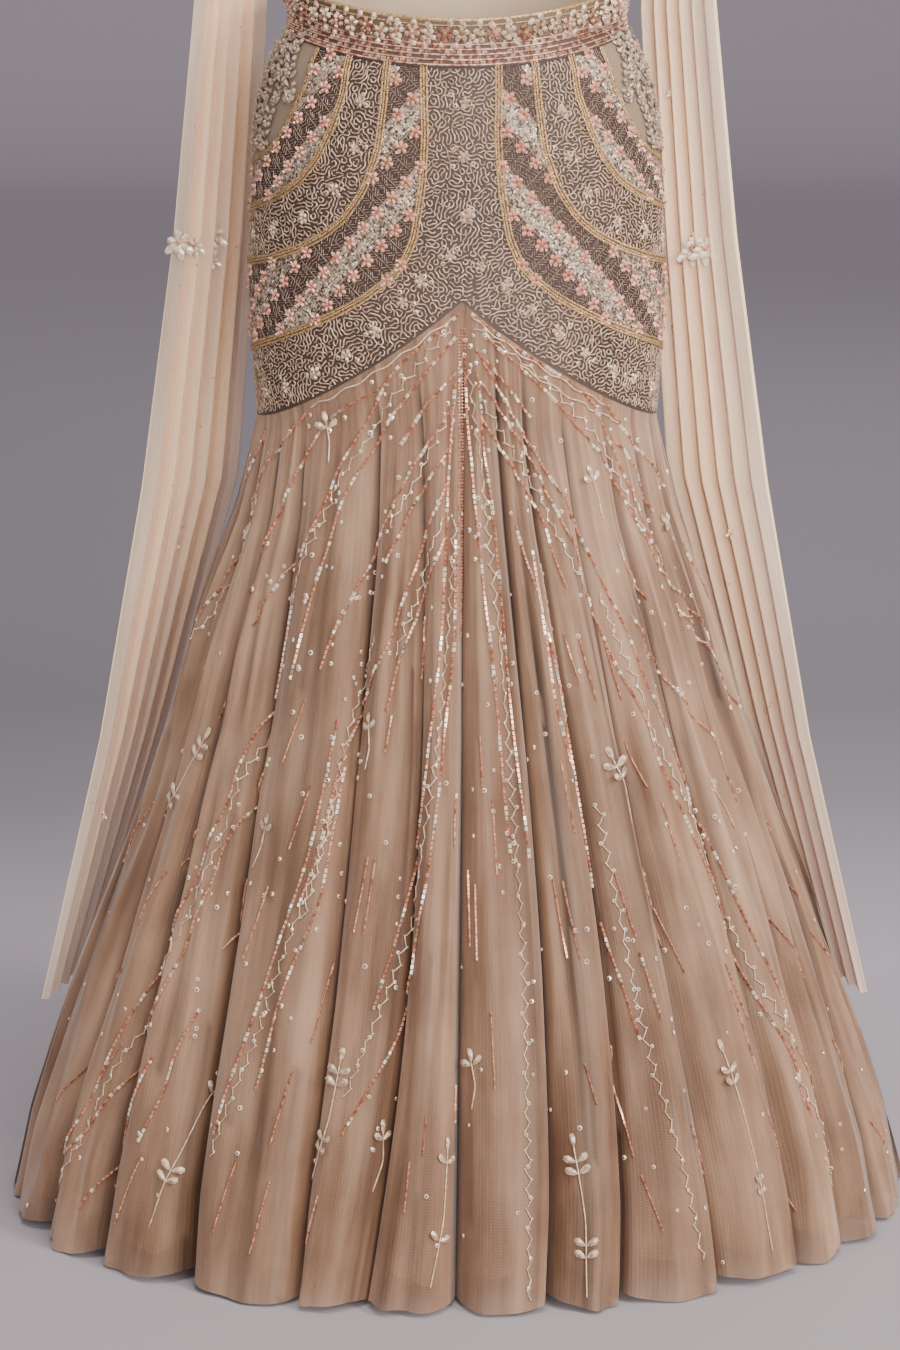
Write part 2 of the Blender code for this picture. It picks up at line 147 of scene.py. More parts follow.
def outline(angle, drop, half, lift=0.0):
    """Points on the skirt's outline, pushed out by lift."""
    turn = np.radians(angle)
    width = np.interp(drop, FINE_DROPS, FINE_OUTLINE["width"]) + lift
    depth = np.interp(drop, FINE_DROPS, FINE_OUTLINE[half]) + lift
    return np.stack(np.broadcast_arrays(width * np.sin(turn), SIDE[half] * depth * np.cos(turn), -drop), -1)


def band_top(angle, half):
    bend = np.clip(np.cos(np.radians(angle)), 0.0, 1.0)
    if half == "back":
        return BAND_TOP_SIDE - 0.004 * bend ** 2
    return BAND_TOP_SIDE - BAND_TOP_DIP * bend ** 1.8


def yoke_start(angle, half):
    return BAND_HEIGHT - band_top(angle, half)


def yoke_edge(angle):
    part = 1.0 - np.clip(np.abs(angle) / 90.0, 0.0, 1.0)
    return YOKE_SIDE_DROP - (YOKE_SIDE_DROP - YOKE_PEAK_DROP) * part ** YOKE_EDGE_POWER


# Soft creases of the net: how many to a lobe, how far they drift over the length, phase and size
CREASES = {half: np.stack((chance.uniform(1.2, 4.6, 16), chance.uniform(-2.5, 2.5, 16),
                           chance.uniform(0.0, math.tau, 16), chance.uniform(0.0004, 0.0016, 16)), -1)
           for half in HALVES}


def creases(column, share, half):
    """Height of the soft creases, which wander down the net."""
    total = np.zeros(np.broadcast(column, share).shape)
    for across, down, phase, size in CREASES[half]:
        turn = math.tau * (across * column + down * share) + phase
        total = total + size * np.sin(turn + 0.8 * np.sin(0.37 * turn + phase))
    return total * np.clip(share * 3.0, 0.0, 1.0) ** 0.6


def net_valleys(half, share):
    """Angles of the valleys at each share of the way down, with one beyond each side seam."""
    hem, middle, yoke = FOLDS[half][:, 0], FOLDS[half][:, 1], FOLDS[half][:, 2]
    share = np.asarray(share, float)[..., None]
    valleys = (yoke * (1 - share) * (1 - 2 * share) + 4 * middle * share * (1 - share)
               + hem * share * (2 * share - 1))
    before = -180.0 - valleys[..., :1]
    after = 180.0 - valleys[..., -1:]
    return np.concatenate((before, valleys, after), -1)


def lobe_count(half):
    return len(FOLDS[half]) + 1


def lobe_leans(half):
    """Degrees that each lobe leans over; the two at the side seams don't lean."""
    return np.concatenate(((0.0,), FOLDS[half][:-1, 4], (0.0,)))


def lobe_angle(place, share, start, end, lean):
    """Angle across one lobe: slow in the valleys, so that the lobe is wide and its sides are steep."""
    turn = math.tau * place
    pinch = 0.25 + 0.72 * np.clip(share * 2.2, 0.0, 1.0)
    even = place - pinch * np.sin(turn) / math.tau
    over = 0.5 * (1 - np.cos(turn))
    return start + (end - start) * even + lean * over * share


def net(column, share, half):
    """Points on the folded net. A column counts lobes from before the left side seam."""
    column, share = np.broadcast_arrays(np.asarray(column, float), np.asarray(share, float))
    lobe = np.clip(np.floor(column), 0, lobe_count(half) - 1).astype(int)
    place = column - lobe
    valleys = net_valleys(half, share)
    start = np.take_along_axis(valleys, lobe[..., None], -1)[..., 0]
    end = np.take_along_axis(valleys, lobe[..., None] + 1, -1)[..., 0]
    depths = np.pad(FOLDS[half][:, 3], 1, mode="edge")
    angle = lobe_angle(place, share, start, end, lobe_leans(half)[lobe])
    depth = depths[lobe] * (1 - place) + depths[lobe + 1] * place
    valley = (0.5 * (1 + np.cos(math.tau * place))) ** 1.55
    inset = depth * valley * share ** 0.85
    calm = np.sin(math.pi * place) ** 2
    inset = inset + creases(column, share, half) * (0.35 + 0.65 * calm)
    first = yoke_edge(angle) + SEAM_GAP / 2
    hem = FLOOR_DROP - 0.004 * (1 - calm) - 0.0025 * (1 + np.sin(5.0 * column + 1.5 * np.sin(2.1 * column)))
    drop = first + (hem - first) * share
    return outline(angle, drop, half, -inset)


def net_column(angle, share, half):
    """Column of the net that lies at an angle."""
    steps = np.linspace(0.0, 1.0, 41)
    columns = np.empty(len(angle))
    valleys = net_valleys(half, share)
    leans = lobe_leans(half)
    for index, (turn, part) in enumerate(zip(angle, share)):
        lobe = int(np.clip(np.searchsorted(valleys[index], turn) - 1, 0, lobe_count(half) - 1))
        angles = lobe_angle(steps, part, valleys[index, lobe], valleys[index, lobe + 1], leans[lobe])
        columns[index] = lobe + np.interp(turn, np.maximum.accumulate(angles), steps)
    return columns


def unit(vectors):
    return vectors / np.maximum(np.linalg.norm(vectors, axis=-1, keepdims=True), 1e-9)


def with_normal(surface, turn, way_down, half, step):
    """Points on a surface and the way out of the cloth there."""
    across = surface(turn + step, way_down, half) - surface(turn - step, way_down, half)
    down = surface(turn, way_down + 0.002, half) - surface(turn, way_down - 0.002, half)
    return surface(turn, way_down, half), unit(np.cross(down, across)) * -SIDE[half]


def net_with_normal(column, share, half):
    return with_normal(net, column, share, half, 0.01)


def hip_with_normal(angle, drop, half, lift=0.0):
    points, out = with_normal(outline, angle, drop, half, 0.5)
    return points + out * lift, out


# Making meshes

def add_object(name, data):
    thing = bpy.data.objects.new(name, data)
    bpy.context.scene.collection.objects.link(thing)
    return thing


def make_piece(name, points, faces, look, smooth=True):
    mesh = bpy.data.meshes.new(name)
    mesh.from_pydata(np.asarray(points).tolist(), [], faces.tolist() if hasattr(faces, "tolist") else faces)
    mesh.polygons.foreach_set("use_smooth", np.full(len(mesh.polygons), smooth))
    mesh.materials.append(LOOKS[look])
    mesh.update()
    piece = add_object(name, mesh)
    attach(piece, "root")
    return piece


def grid_faces(rows, columns, flip):
    first = (np.arange(rows - 1)[:, None] * columns + np.arange(columns - 1)[None]).reshape(-1)
    faces = np.stack((first, first + columns, first + columns + 1, first + 1), -1)
    return faces[:, ::-1] if flip else faces


def make_sheet(name, grid, look, flip):
    """One sheet of cloth from rows of points, with a UV map in metres along and across it."""
    rows, columns = grid.shape[:2]
    piece = make_piece(name, grid.reshape(-1, 3), grid_faces(rows, columns, flip), look)
    across = running_total(np.linalg.norm(np.diff(grid, axis=1), axis=2).mean(0))
    down = running_total(np.linalg.norm(np.diff(grid, axis=0), axis=2).mean(1))
    flat = np.stack(np.broadcast_arrays(across[None], down[:, None]), -1).reshape(-1, 2)
    layer = piece.data.uv_layers.new(name="cloth")
    corners = np.empty(len(piece.data.loops), int)
    piece.data.loops.foreach_get("vertex_index", corners)
    layer.data.foreach_set("uv", flat[corners].reshape(-1))
    return piece


def add_shade(piece, name, values):
    """Keep a number from 0 to 1 at each point, for the material to use."""
    layer = piece.data.attributes.new(name, "FLOAT", "POINT")
    layer.data.foreach_set("value", np.clip(values, 0.0, 1.0).reshape(-1).astype(np.float32))


# Small shapes that are sewn on: x runs along the stitch, y across it and z out of the cloth
BUGLE = (((-0.5, -0.5, 0.0), (-0.5, 0.5, 0.0), (-0.42, 0.0, 0.85),
          (0.5, -0.5, 0.0), (0.5, 0.5, 0.0), (0.42, 0.0, 0.85)),
         ((0, 3, 5, 2), (1, 2, 5, 4), (0, 2, 1), (3, 4, 5)))
BEAD = (((0.5, 0.0, 0.2), (0.0, 0.5, 0.2), (-0.5, 0.0, 0.2), (0.0, -0.5, 0.2), (0.0, 0.0, 0.75)),
        ((0, 1, 4), (1, 2, 4), (2, 3, 4), (3, 0, 4)))


def rim_points(sides, height):
    turns = [math.tau * number / sides for number in range(sides)]
    return [(0.5 * math.cos(turn), 0.5 * math.sin(turn), height) for turn in turns]


def disc_shape(sides, rim, middle):
    """Sequin: a shallow dish turned over, with its middle raised."""
    points = rim_points(sides, rim) + [(0.0, 0.0, middle)]
    return tuple(points), tuple((i, (i + 1) % sides, sides) for i in range(sides))


def ring_shape(sides, hole):
    """Round spangle with a hole."""
    outer = rim_points(sides, 0.05)
    inner = [(x * hole, y * hole, 0.30) for x, y, _ in outer]
    faces = tuple((i, (i + 1) % sides, sides + (i + 1) % sides, sides + i) for i in range(sides))
    return tuple(outer + inner), faces


def petal_shape(width, height):
    """Rounded petal with its middle raised."""
    outline_points = ((0.0, 0.0), (0.30, 0.36 * width), (0.66, 0.50 * width), (0.94, 0.26 * width),
                      (0.94, -0.26 * width), (0.66, -0.50 * width), (0.30, -0.36 * width))
    points = tuple((x, y, 0.0) for x, y in outline_points) + ((0.58, 0.0, height),)
    return points, tuple((corner, 7, (corner + 1) % 7) for corner in range(7))


SEQUIN = disc_shape(6, 0.06, 0.16)
RING = ring_shape(8, 0.42)
PETAL = petal_shape(0.72, 0.30)
LEAF = petal_shape(0.46, 0.16)
SQUARE = (((-0.5, -0.5, 0.0), (0.5, -0.5, 0.0), (0.5, 0.5, 0.0), (-0.5, 0.5, 0.0),
           (-0.4, -0.4, 0.06), (0.4, -0.4, 0.06), (0.4, 0.4, 0.06), (-0.4, 0.4, 0.06)),
          ((0, 1, 5, 4), (1, 2, 6, 5), (2, 3, 7, 6), (3, 0, 4, 7), (4, 5, 6, 7)))


class Stitches:
    """Collects small shapes and cords, and makes them into one piece."""

    def __init__(self):
        self.points = []
        self.faces = []
        self.count = 0

    def add(self, shape, places, along, out, sizes):
        """Set the shape at each place; sizes are its lengths along, across and out of the cloth."""
        if len(places) == 0:
            return
        along = unit(along - out * (along * out).sum(-1, keepdims=True))
        across = np.cross(out, along)
        local = np.array(shape[0])
        sizes = np.broadcast_to(sizes, (len(places), 3))
        scaled = local[None] * sizes[:, None]
        points = (places[:, None] + scaled[..., :1] * along[:, None] + scaled[..., 1:2] * across[:, None]
                  + scaled[..., 2:] * out[:, None])
        for index in range(len(places)):
            base = self.count + index * len(local)
            self.faces += [tuple(base + corner for corner in face) for face in shape[1]]
        self.points.append(points.reshape(-1, 3))
        self.count += len(places) * len(local)

    def cord(self, path, out, radius, sides):
        """Round cord along a path."""
        along = unit(np.gradient(path, axis=0))
        across = unit(np.cross(out, along))
        rise = np.cross(along, across)
        turns = math.tau * (np.arange(sides) + 0.5) / sides
        ring = (path[:, None] + radius * (np.cos(turns)[None, :, None] * across[:, None]
                                          + np.sin(turns)[None, :, None] * rise[:, None]))
        for base in range(self.count, self.count + (len(path) - 1) * sides, sides):
            for corner in range(sides):
                following = (corner + 1) % sides
                self.faces.append((base + corner, base + following,
                                   base + sides + following, base + sides + corner))
        last = self.count + (len(path) - 1) * sides
        self.faces.append(tuple(self.count + corner for corner in reversed(range(sides))))
        self.faces.append(tuple(last + corner for corner in range(sides)))
        self.points.append(ring.reshape(-1, 3))
        self.count += len(path) * sides

    def make(self, name, look, slot_name, smooth=False):
        return make_piece(name, np.concatenate(self.points), self.faces, look, smooth)


# Materials

def linear(red, green, blue):
    """Blender's colour for a screen colour from 0 to 255."""
    return tuple((channel / 255 / 12.92 if channel <= 10 else ((channel / 255 + 0.055) / 1.055) ** 2.4)
                 for channel in (red, green, blue)) + (1.0,)


LOOKS = {}                  # every material by its name


def new_material(name, colour, roughness, metallic=0.0):
    material = LOOKS[name] = bpy.data.materials.new(name)
    material.use_nodes = True
    shader = material.node_tree.nodes["Principled BSDF"]
    shader.inputs["Base Color"].default_value = colour
    shader.inputs["Roughness"].default_value = roughness
    shader.inputs["Metallic"].default_value = metallic
    return material.node_tree, shader


def add_node(tree, kind, **values):
    node = tree.nodes.new(kind)
    for key, value in values.items():
        if key in node.inputs:
            node.inputs[key].default_value = value
        else:
            setattr(node, key, value)
    return node


def cloud_colour(tree, shader, source, dark, light, scale, detail=4.0):
    """Mottle the base colour between two tones."""
    noise = add_node(tree, "ShaderNodeTexNoise", Scale=scale, Detail=detail)
    tree.links.new(source, noise.inputs["Vector"])
    ramp = add_node(tree, "ShaderNodeValToRGB")
    ramp.color_ramp.elements[0].position = 0.32
    ramp.color_ramp.elements[0].color = dark
    ramp.color_ramp.elements[1].position = 0.68
    ramp.color_ramp.elements[1].color = light
    tree.links.new(noise.outputs["Fac"], ramp.inputs["Fac"])
    tree.links.new(ramp.outputs["Color"], shader.inputs["Base Color"])
    return ramp


WAVE_SCALE = 0.98 / 6.2832      # scale of the wave texture that gives one band a metre
CLOTH_THREADS = 1800.0          # a metre
NET_THREADS = 900.0


def weave_height(tree, source, threads):
    """Height of a plain weave: threads a metre both ways along the cloth."""
    ways = []
    for direction in ("X", "Y"):
        wave = add_node(tree, "ShaderNodeTexWave", wave_type="BANDS", bands_direction=direction,
                        Scale=threads * WAVE_SCALE, Distortion=0.4, Detail=1.0)
        tree.links.new(source, wave.inputs["Vector"])
        ways.append(wave.outputs["Fac"])
    top = add_node(tree, "ShaderNodeMath", operation="MAXIMUM")
    tree.links.new(ways[0], top.inputs[0])
    tree.links.new(ways[1], top.inputs[1])
    return top.outputs["Value"]


def cloth_material(name, dark, light, roughness, sheen):
    """Plain woven cloth, a little mottled."""
    tree, shader = new_material(name, light, roughness)
    shader.inputs["Sheen Weight"].default_value = sheen
    shader.inputs["Sheen Roughness"].default_value = 0.45
    coords = add_node(tree, "ShaderNodeTexCoord")
    cloud_colour(tree, shader, coords.outputs["Object"], dark, light, 14.0)
    bump = add_node(tree, "ShaderNodeBump", Strength=0.25, Distance=0.0004)
    weave = weave_height(tree, coords.outputs["UV"], CLOTH_THREADS)
    tree.links.new(weave, bump.inputs["Height"])
    tree.links.new(bump.outputs["Normal"], shader.inputs["Normal"])


def streaks(tree, across):
    """Noise drawn out down the cloth."""
    coords = add_node(tree, "ShaderNodeTexCoord")
    stretch = add_node(tree, "ShaderNodeMapping")
    stretch.inputs["Scale"].default_value = (across, 3.0, 1.0)
    tree.links.new(coords.outputs["UV"], stretch.inputs["Vector"])
    noise = add_node(tree, "ShaderNodeTexNoise", Scale=1.0, Detail=4.0, Roughness=0.6)
    tree.links.new(stretch.outputs["Vector"], noise.inputs["Vector"])
    return noise.outputs["Fac"]


def maths(tree, operation, *values, clamp=False):
    node = add_node(tree, "ShaderNodeMath", operation=operation, use_clamp=clamp)
    for socket, value in zip(node.inputs, values):
        if isinstance(value, float):
            socket.default_value = value
        else:
            tree.links.new(value, socket)
    return node.outputs["Value"]


def shade_towards(tree, shader, shade_name, colour):
    """Turn the base colour into another one where the piece's shade is 1, and give the shade."""
    usual = shader.inputs["Base Color"].links[0].from_socket
    shade = add_node(tree, "ShaderNodeAttribute", attribute_name=shade_name)
    mix = add_node(tree, "ShaderNodeMix", data_type="RGBA")
    tree.links.new(shade.outputs["Fac"], mix.inputs["Factor"])
    tree.links.new(usual, mix.inputs[6])
    mix.inputs[7].default_value = colour
    tree.links.new(mix.outputs[2], shader.inputs["Base Color"])
    return shade.outputs["Fac"]


def net_material(name, dark, light, shade_and_layer_colour, facing, grazing, shade_name, sheen, across=42.0, dense=0.35):
    """Fine net: see-through face on and denser where it turns away or lies in more layers.

    The colours are those of its darker and lighter streaks and of the places that the shade marks: painted
    shade in the skirt's fold valleys, denser layers on the shoulder panels.
    """
    tree, shader = new_material(name, light, 0.55)
    shader.inputs["Sheen Weight"].default_value = sheen
    shader.inputs["Sheen Roughness"].default_value = 0.4
    coords = add_node(tree, "ShaderNodeTexCoord")
    streak = streaks(tree, across)
    ramp = cloud_colour(tree, shader, coords.outputs["Object"], dark, light, 8.0)
    cloud = ramp.inputs["Fac"].links[0].from_socket
    both = maths(tree, "MULTIPLY_ADD", streak, 0.55, maths(tree, "MULTIPLY", cloud, 0.45))
    tree.links.new(both, ramp.inputs["Fac"])
    ramp.color_ramp.elements[0].position = 0.38
    ramp.color_ramp.elements[1].position = 0.62
    shade = shade_towards(tree, shader, shade_name, shade_and_layer_colour)
    weight = add_node(tree, "ShaderNodeLayerWeight", Blend=0.5)
    turned = maths(tree, "MULTIPLY_ADD", weight.outputs["Facing"], grazing - facing, facing)
    varied = maths(tree, "MULTIPLY_ADD", streak, 0.5, maths(tree, "SUBTRACT", turned, 0.25), clamp=True)
    layered = maths(tree, "MULTIPLY_ADD", shade, dense, varied, clamp=True)
    tree.links.new(layered, shader.inputs["Alpha"])
    weave = weave_height(tree, coords.outputs["UV"], NET_THREADS)
    height = maths(tree, "MULTIPLY_ADD", weave, 0.12, streak)
    bump = add_node(tree, "ShaderNodeBump", Strength=0.75, Distance=0.003)
    tree.links.new(height, bump.inputs["Height"])
    tree.links.new(bump.outputs["Normal"], shader.inputs["Normal"])


def bead_material(name, dark, light, roughness, metallic, scale=260.0, coat=0.3):
    """Beads, spangles and metal cord, each a little different in tone."""
    tree, shader = new_material(name, light, roughness, metallic)
    shader.inputs["Coat Weight"].default_value = coat
    coords = add_node(tree, "ShaderNodeTexCoord")
    cloud_colour(tree, shader, coords.outputs["Object"], dark, light, scale, 1.0)


# Beads, cords and threads: darker and lighter tone, roughness, metallic, fineness of the mottle, coat
for name, dark, light, *finish in (
        ("silver_beads", (216, 186, 158), (255, 242, 222), 0.24, 0.18),
        ("band_silver", (146, 118, 94), (236, 210, 182), 0.28, 0.15),
        ("strip_beads", (112, 92, 76), (200, 176, 152), 0.34, 0.12),
        ("silver_cord", (156, 124, 99), (226, 195, 165), 0.38, 0.10, 260.0, 0.2),
        ("net_cord", (186, 152, 122), (238, 210, 182), 0.34, 0.12),
        ("ray_rose", (146, 80, 56), (234, 166, 134), 0.27, 0.30),
        ("leaf_beads", (160, 130, 104), (230, 204, 178), 0.34, 0.12),
        ("rose_beads", (132, 84, 66), (232, 184, 158), 0.26, 0.25),
        ("pink_beads", (190, 116, 92), (242, 184, 160), 0.34, 0.05),
        ("gold_cord", (118, 82, 46), (216, 176, 124), 0.36, 0.30, 620.0),
        ("brown_thread", (42, 28, 23), (72, 50, 41), 0.75, 0.0, 500.0, 0.0),
        ("beige_thread", (130, 106, 88), (192, 166, 144), 0.6, 0.0, 500.0, 0.0),
        ("copper_beads", (124, 78, 60), (200, 142, 116), 0.30, 0.3)):
    bead_material(name, linear(*dark), linear(*light), *finish)
# Plain cloth: darker and lighter tone, roughness and sheen
for name, dark, light, *finish in (
        ("yoke_ground", (56, 40, 33), (78, 57, 47), 0.62, 0.10),
        ("band_ground", (80, 60, 42), (112, 88, 64), 0.55, 0.2),
        ("inside_cloth", (192, 164, 140), (204, 178, 152), 0.5, 0.2),
        ("lining_cloth", (116, 87, 66), (130, 100, 78), 0.5, 0.2),
        ("choli_cloth", (176, 148, 122), (192, 164, 138), 0.55, 0.3)):
    cloth_material(name, linear(*dark), linear(*light), *finish)
# Nets: darker and lighter tone, tone where the shade is 1 (painted shade in the fold valleys of the skirt's
# nets, denser layers on the shoulder panels), density face on and edge on, shade, sheen, streaks across and
# how much the shade adds to the density
for name, dark, light, shade_and_layer_colour, *finish in (
        ("outer_net", (156, 113, 84), (220, 175, 140), (48, 27, 16), 0.46, 0.98, "valley", 0.26),
        ("under_net", (104, 71, 48), (150, 110, 80), (34, 19, 12), 0.92, 1.0, "valley", 0.12, 30.0),
        ("cape_net", (250, 208, 168), (255, 222, 188), (250, 210, 170), 0.48, 0.86,
         "layers", 0.6, 60.0, 0.62)):
    net_material(name, linear(*dark), linear(*light), linear(*shade_and_layer_colour), *finish)

# The lower part of the waistband and the sides of the yoke are other colours than the rest
for name, shade_name, colour in (("yoke_ground", "plain", linear(142, 120, 98)),
                                 ("band_ground", "dark", linear(78, 50, 40))):
    tree = LOOKS[name].node_tree
    shade_towards(tree, tree.nodes["Principled BSDF"], shade_name, colour)


# Skirt

def rows_down(count):
    """Shares of the way down, closer together under the yoke."""
    return np.linspace(0.0, 1.0, count) ** 1.15


LOBES_DRAWN = 20            # random values for more lobes than either half has
LAPS_IN_LOBE = 3
LAST_LEFT_LOBE = 7
# Where the net laps over itself within each lobe, how much of the lobe sinks slowly into painted shade, and
# the painted shade laid over the whole lobe
LAPS = {half: np.sort(chance.uniform(0.14, 0.82, (LOBES_DRAWN, LAPS_IN_LOBE)), axis=1) for half in HALVES}
SHADE_WIDTHS = {half: chance.uniform(0.26, 0.56, LOBES_DRAWN) for half in HALVES}
LOBE_PAINTED_SHADE = {half: chance.uniform(0.06, 0.32, LOBES_DRAWN) for half in HALVES}


def painted_fold_shade(columns, shares, half):
    """Painted shade of the net: 0 on the light edges of its folds and 1 in the valleys, where the material
    darkens it and makes it denser.

    Each fold laps crisply over the valley on its side away from the centre and sinks slowly on the other.
    """
    lobe = np.floor(columns).astype(int)
    place = columns - lobe
    turned = np.where(lobe <= LAST_LEFT_LOBE, place, 1.0 - place)
    width = SHADE_WIDTHS[half][lobe]
    shade = np.clip((turned - 1.0 + width) / width, 0.0, 1.0) ** 1.25 + np.exp(-turned / 0.014)
    shade = np.maximum(shade, LOBE_PAINTED_SHADE[half][lobe] * (1.0 - np.exp(-turned / 0.10)))
    # Painted shade that deepens towards each line where the net laps over itself
    for lap in range(LAPS_IN_LOBE):
        gap = turned - LAPS[half][lobe, lap] - 0.14 * (shares - 0.6) * (lap - 1)
        line = np.where(gap < 0.0, 0.36 * np.exp(np.minimum(gap, 0.0) / 0.055), 0.0)
        shade = shade + line * np.clip(shares * 3, 0, 1)
    # The painted shade is weaker right under the yoke, and a band of painted shade lies along the yoke's
    # edge
    return shade * np.clip(shares * 14.0, 0.55, 1.0) + 0.16 * np.exp(-shares / 0.03)


def net_columns(half, lobe_steps):
    """Columns from one side seam to the other, with so many steps to a lobe."""
    last = lobe_count(half) - 1
    return np.linspace(0.5, last + 0.5, last * lobe_steps + 1)


def drape_net(name, grid, columns, shares, look, half):
    piece = make_sheet(f"{name}_{half}", grid, look, flip=half == "back")
    # The valley attribute carries the painted shade of the folds: the net darkens towards its shade colour
    # and grows denser there
    add_shade(piece, "valley", painted_fold_shade(columns, shares, half))
    return piece


def drape_skirt(half):
    columns, shares = net_columns(half, 30)[None], rows_down(104)[:, None]
    piece = drape_net("net", net(columns, shares, half), columns, shares, "outer_net", half)
    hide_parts(f"flare_{half}")

    # The under layer ends a little higher, with an uneven hem, and lies further in towards the hem
    columns, shares = np.meshgrid(net_columns(half, 18), np.linspace(0.0, 0.974, 80))
    shares = shares * (1.0 - 0.009 * (1.0 + np.sin(7.0 * columns + 2.0 * np.sin(3.1 * columns))))
    points, out = net_with_normal(columns, np.maximum(shares, 0.003), half)
    ripple = 0.0022 * np.sin(17.0 * columns + 5.0 * np.sin(4.0 * shares)) * shares
    grid = points - out * (0.0015 + 0.0058 * shares + ripple)[..., None]
    drape_net("under_net", grid, columns, shares, "under_net", half)


SEAM_TO_SEAM = np.linspace(-90.0, 90.0, 181)


def fit_yoke_and_band(half):
    flip = half == "back"
    angles = SEAM_TO_SEAM
    start, end = yoke_start(angles, half), yoke_edge(angles)
    shares = np.linspace(0.0, 1.0, 91)[:, None]
    drops = start + (end - start) * shares
    grid = outline(angles[None], drops, half)
    piece = make_sheet(f"yoke_cloth_{half}", grid, "yoke_ground", flip)
    add_shade(piece, "plain", (arc_zone(np.broadcast_to(angles, drops.shape), drops) == 4) * 1.0)
    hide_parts(f"yoke_{half}")

    shares = np.linspace(0.0, 1.0, 17)[:, None]
    grid = outline(angles[None], start - BAND_HEIGHT * (1 - shares), half, 0.001)
    piece = make_sheet(f"band_cloth_{half}", grid, "band_ground", flip)
    add_shade(piece, "dark", np.broadcast_to(shares > 0.49, grid.shape[:2]) * 1.0)
    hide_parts(f"waistband_{half}")
    grid = outline(angles[None], start - BAND_HEIGHT * (1 - shares), half, -0.0012)
    piece = make_sheet(f"band_inside_{half}", grid, "inside_cloth", flip)


# Yoke embroidery

ARC_NAMES = ("inner", "middle", "outer", "fine")
# Cord arcs on the yoke: degrees from the centre and drop
ARCS = {
    "inner": ((11.4, 0.0425), (10.2, 0.098), (10.7, 0.140), (12.9, 0.186), (16.5, 0.211), (21.0, 0.2235),
              (28.0, 0.239), (37.0, 0.2525), (48.0, 0.266), (62.0, 0.2775), (78.0, 0.287), (90.0, 0.2925)),
    "middle": ((23.1, 0.038), (22.8, 0.075), (23.8, 0.1125), (27.6, 0.146), (33.5, 0.171), (40.5, 0.186),
               (50.0, 0.198), (64.0, 0.2085), (78.0, 0.214), (90.0, 0.2155)),
    "outer": ((37.0, 0.035), (36.5, 0.0655), (39.0, 0.0925), (43.7, 0.121), (50.0, 0.1405), (58.5, 0.153),
              (70.0, 0.162), (81.0, 0.168), (90.0, 0.170)),
    "fine": ((52.0, 0.0295), (52.3, 0.060), (57.6, 0.0905), (64.6, 0.112), (72.0, 0.1205), (80.0, 0.126),
             (90.0, 0.131)),
}


METRES_A_DEGREE = 0.0028    # round the hip, about


def smooth_path(places, count):
    """Even points along a rounded curve through the places."""
    places = np.array(places, float)
    steps = distances(places * (METRES_A_DEGREE, 1.0))
    even = np.linspace(0.0, steps[-1], count)
    reach = max(2, count // (2 * len(places)))
    path = []
    for column in range(2):
        values = np.interp(even, steps, places[:, column])
        start, end = values[0], values[-1]
        before = 2 * start - values[reach:0:-1]
        after = 2 * end - values[-2:-reach - 2:-1]
        weights = np.hanning(2 * reach + 1)
        path.append(np.convolve(np.concatenate((before, values, after)), weights / weights.sum(), "valid"))
    return np.stack(path, -1)


def arc_zone(angle, drop):
    """How many arcs a place on the yoke lies outside of."""
    zone = np.zeros(np.shape(angle), int)
    for name in ARC_NAMES:
        arc = np.array(ARCS[name])
        limit = np.interp(drop, arc[:, 1], arc[:, 0])
        limit = np.where(drop > arc[-1, 1], 1000.0, limit)
        zone += np.abs(angle) > limit
    return zone


for half in HALVES:
    drape_skirt(half)
    fit_yoke_and_band(half)
    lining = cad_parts[f"lining_{half}"]
    lining.data.materials.clear()
    lining.data.materials.append(LOOKS["lining_cloth"])


HIP_DROP = 0.16             # where the yoke's embroidery is measured round the hip


def girth_table(half, drop=HIP_DROP):
    """Degrees against metres round the hip, measured from the centre."""
    angles = np.linspace(0.0, 90.0, 181)
    return angles, distances(outline(angles, np.full(len(angles), drop), half))


def angle_at(girth, half, drop=HIP_DROP):
    """Degrees of a place that lies so many metres round the hip from the centre."""
    angles, lengths = girth_table(half, drop)
    return np.sign(girth) * np.interp(np.abs(girth), lengths, angles)


def level_lines(field, step):
    """Chains of points where a field on a grid crosses zero."""
    above = field > 0
    crossing = {}

    def edge_point(row, column, other_row, other_column):
        first, second = field[row, column], field[other_row, other_column]
        share = first / (first - second)
        return (column + (other_column - column) * share) * step, (row + (other_row - row) * share) * step

    cells = above[:-1, :-1].astype(int) + above[:-1, 1:] + above[1:, :-1] + above[1:, 1:]
    for row, column in zip(*np.nonzero((cells > 0) & (cells < 4))):
        sides = (((row, column), (row, column + 1)), ((row, column + 1), (row + 1, column + 1)),
                 ((row + 1, column), (row + 1, column + 1)), ((row, column), (row + 1, column)))
        cut = [side for side in sides if above[side[0]] != above[side[1]]]
        for start, end in zip(cut[::2], cut[1::2]):
            crossing.setdefault(start, []).append(end)
            crossing.setdefault(end, []).append(start)
    chains = []
    while crossing:
        key = next(iter(crossing))
        chain = [key]
        while crossing.get(key):
            following = crossing[key].pop()
            crossing[following].remove(key)
            if not crossing[key]:
                del crossing[key]
            chain.append(following)
            key = following
        crossing.pop(key, None)
        chains.append(np.array([edge_point(*start, *end) for start, end in chain]))
    return chains


def meander_field(height, width, step, spacing):
    """Random field whose zero lines wander at an even spacing, like vermicelli stitching."""
    rows, columns = int(height / step) + 1, int(width / step) + 1
    noise = np.fft.rfft2(chance.standard_normal((rows, columns)))
    down = np.fft.fftfreq(rows, step)[:, None]
    across = np.fft.rfftfreq(columns, step)[None]
    wave = np.sqrt(down ** 2 + across ** 2)
    centre = 1.0 / (2 * spacing)
    noise *= np.exp(-((wave - centre) / (0.16 * centre)) ** 2)
    return np.fft.irfft2(noise, (rows, columns))


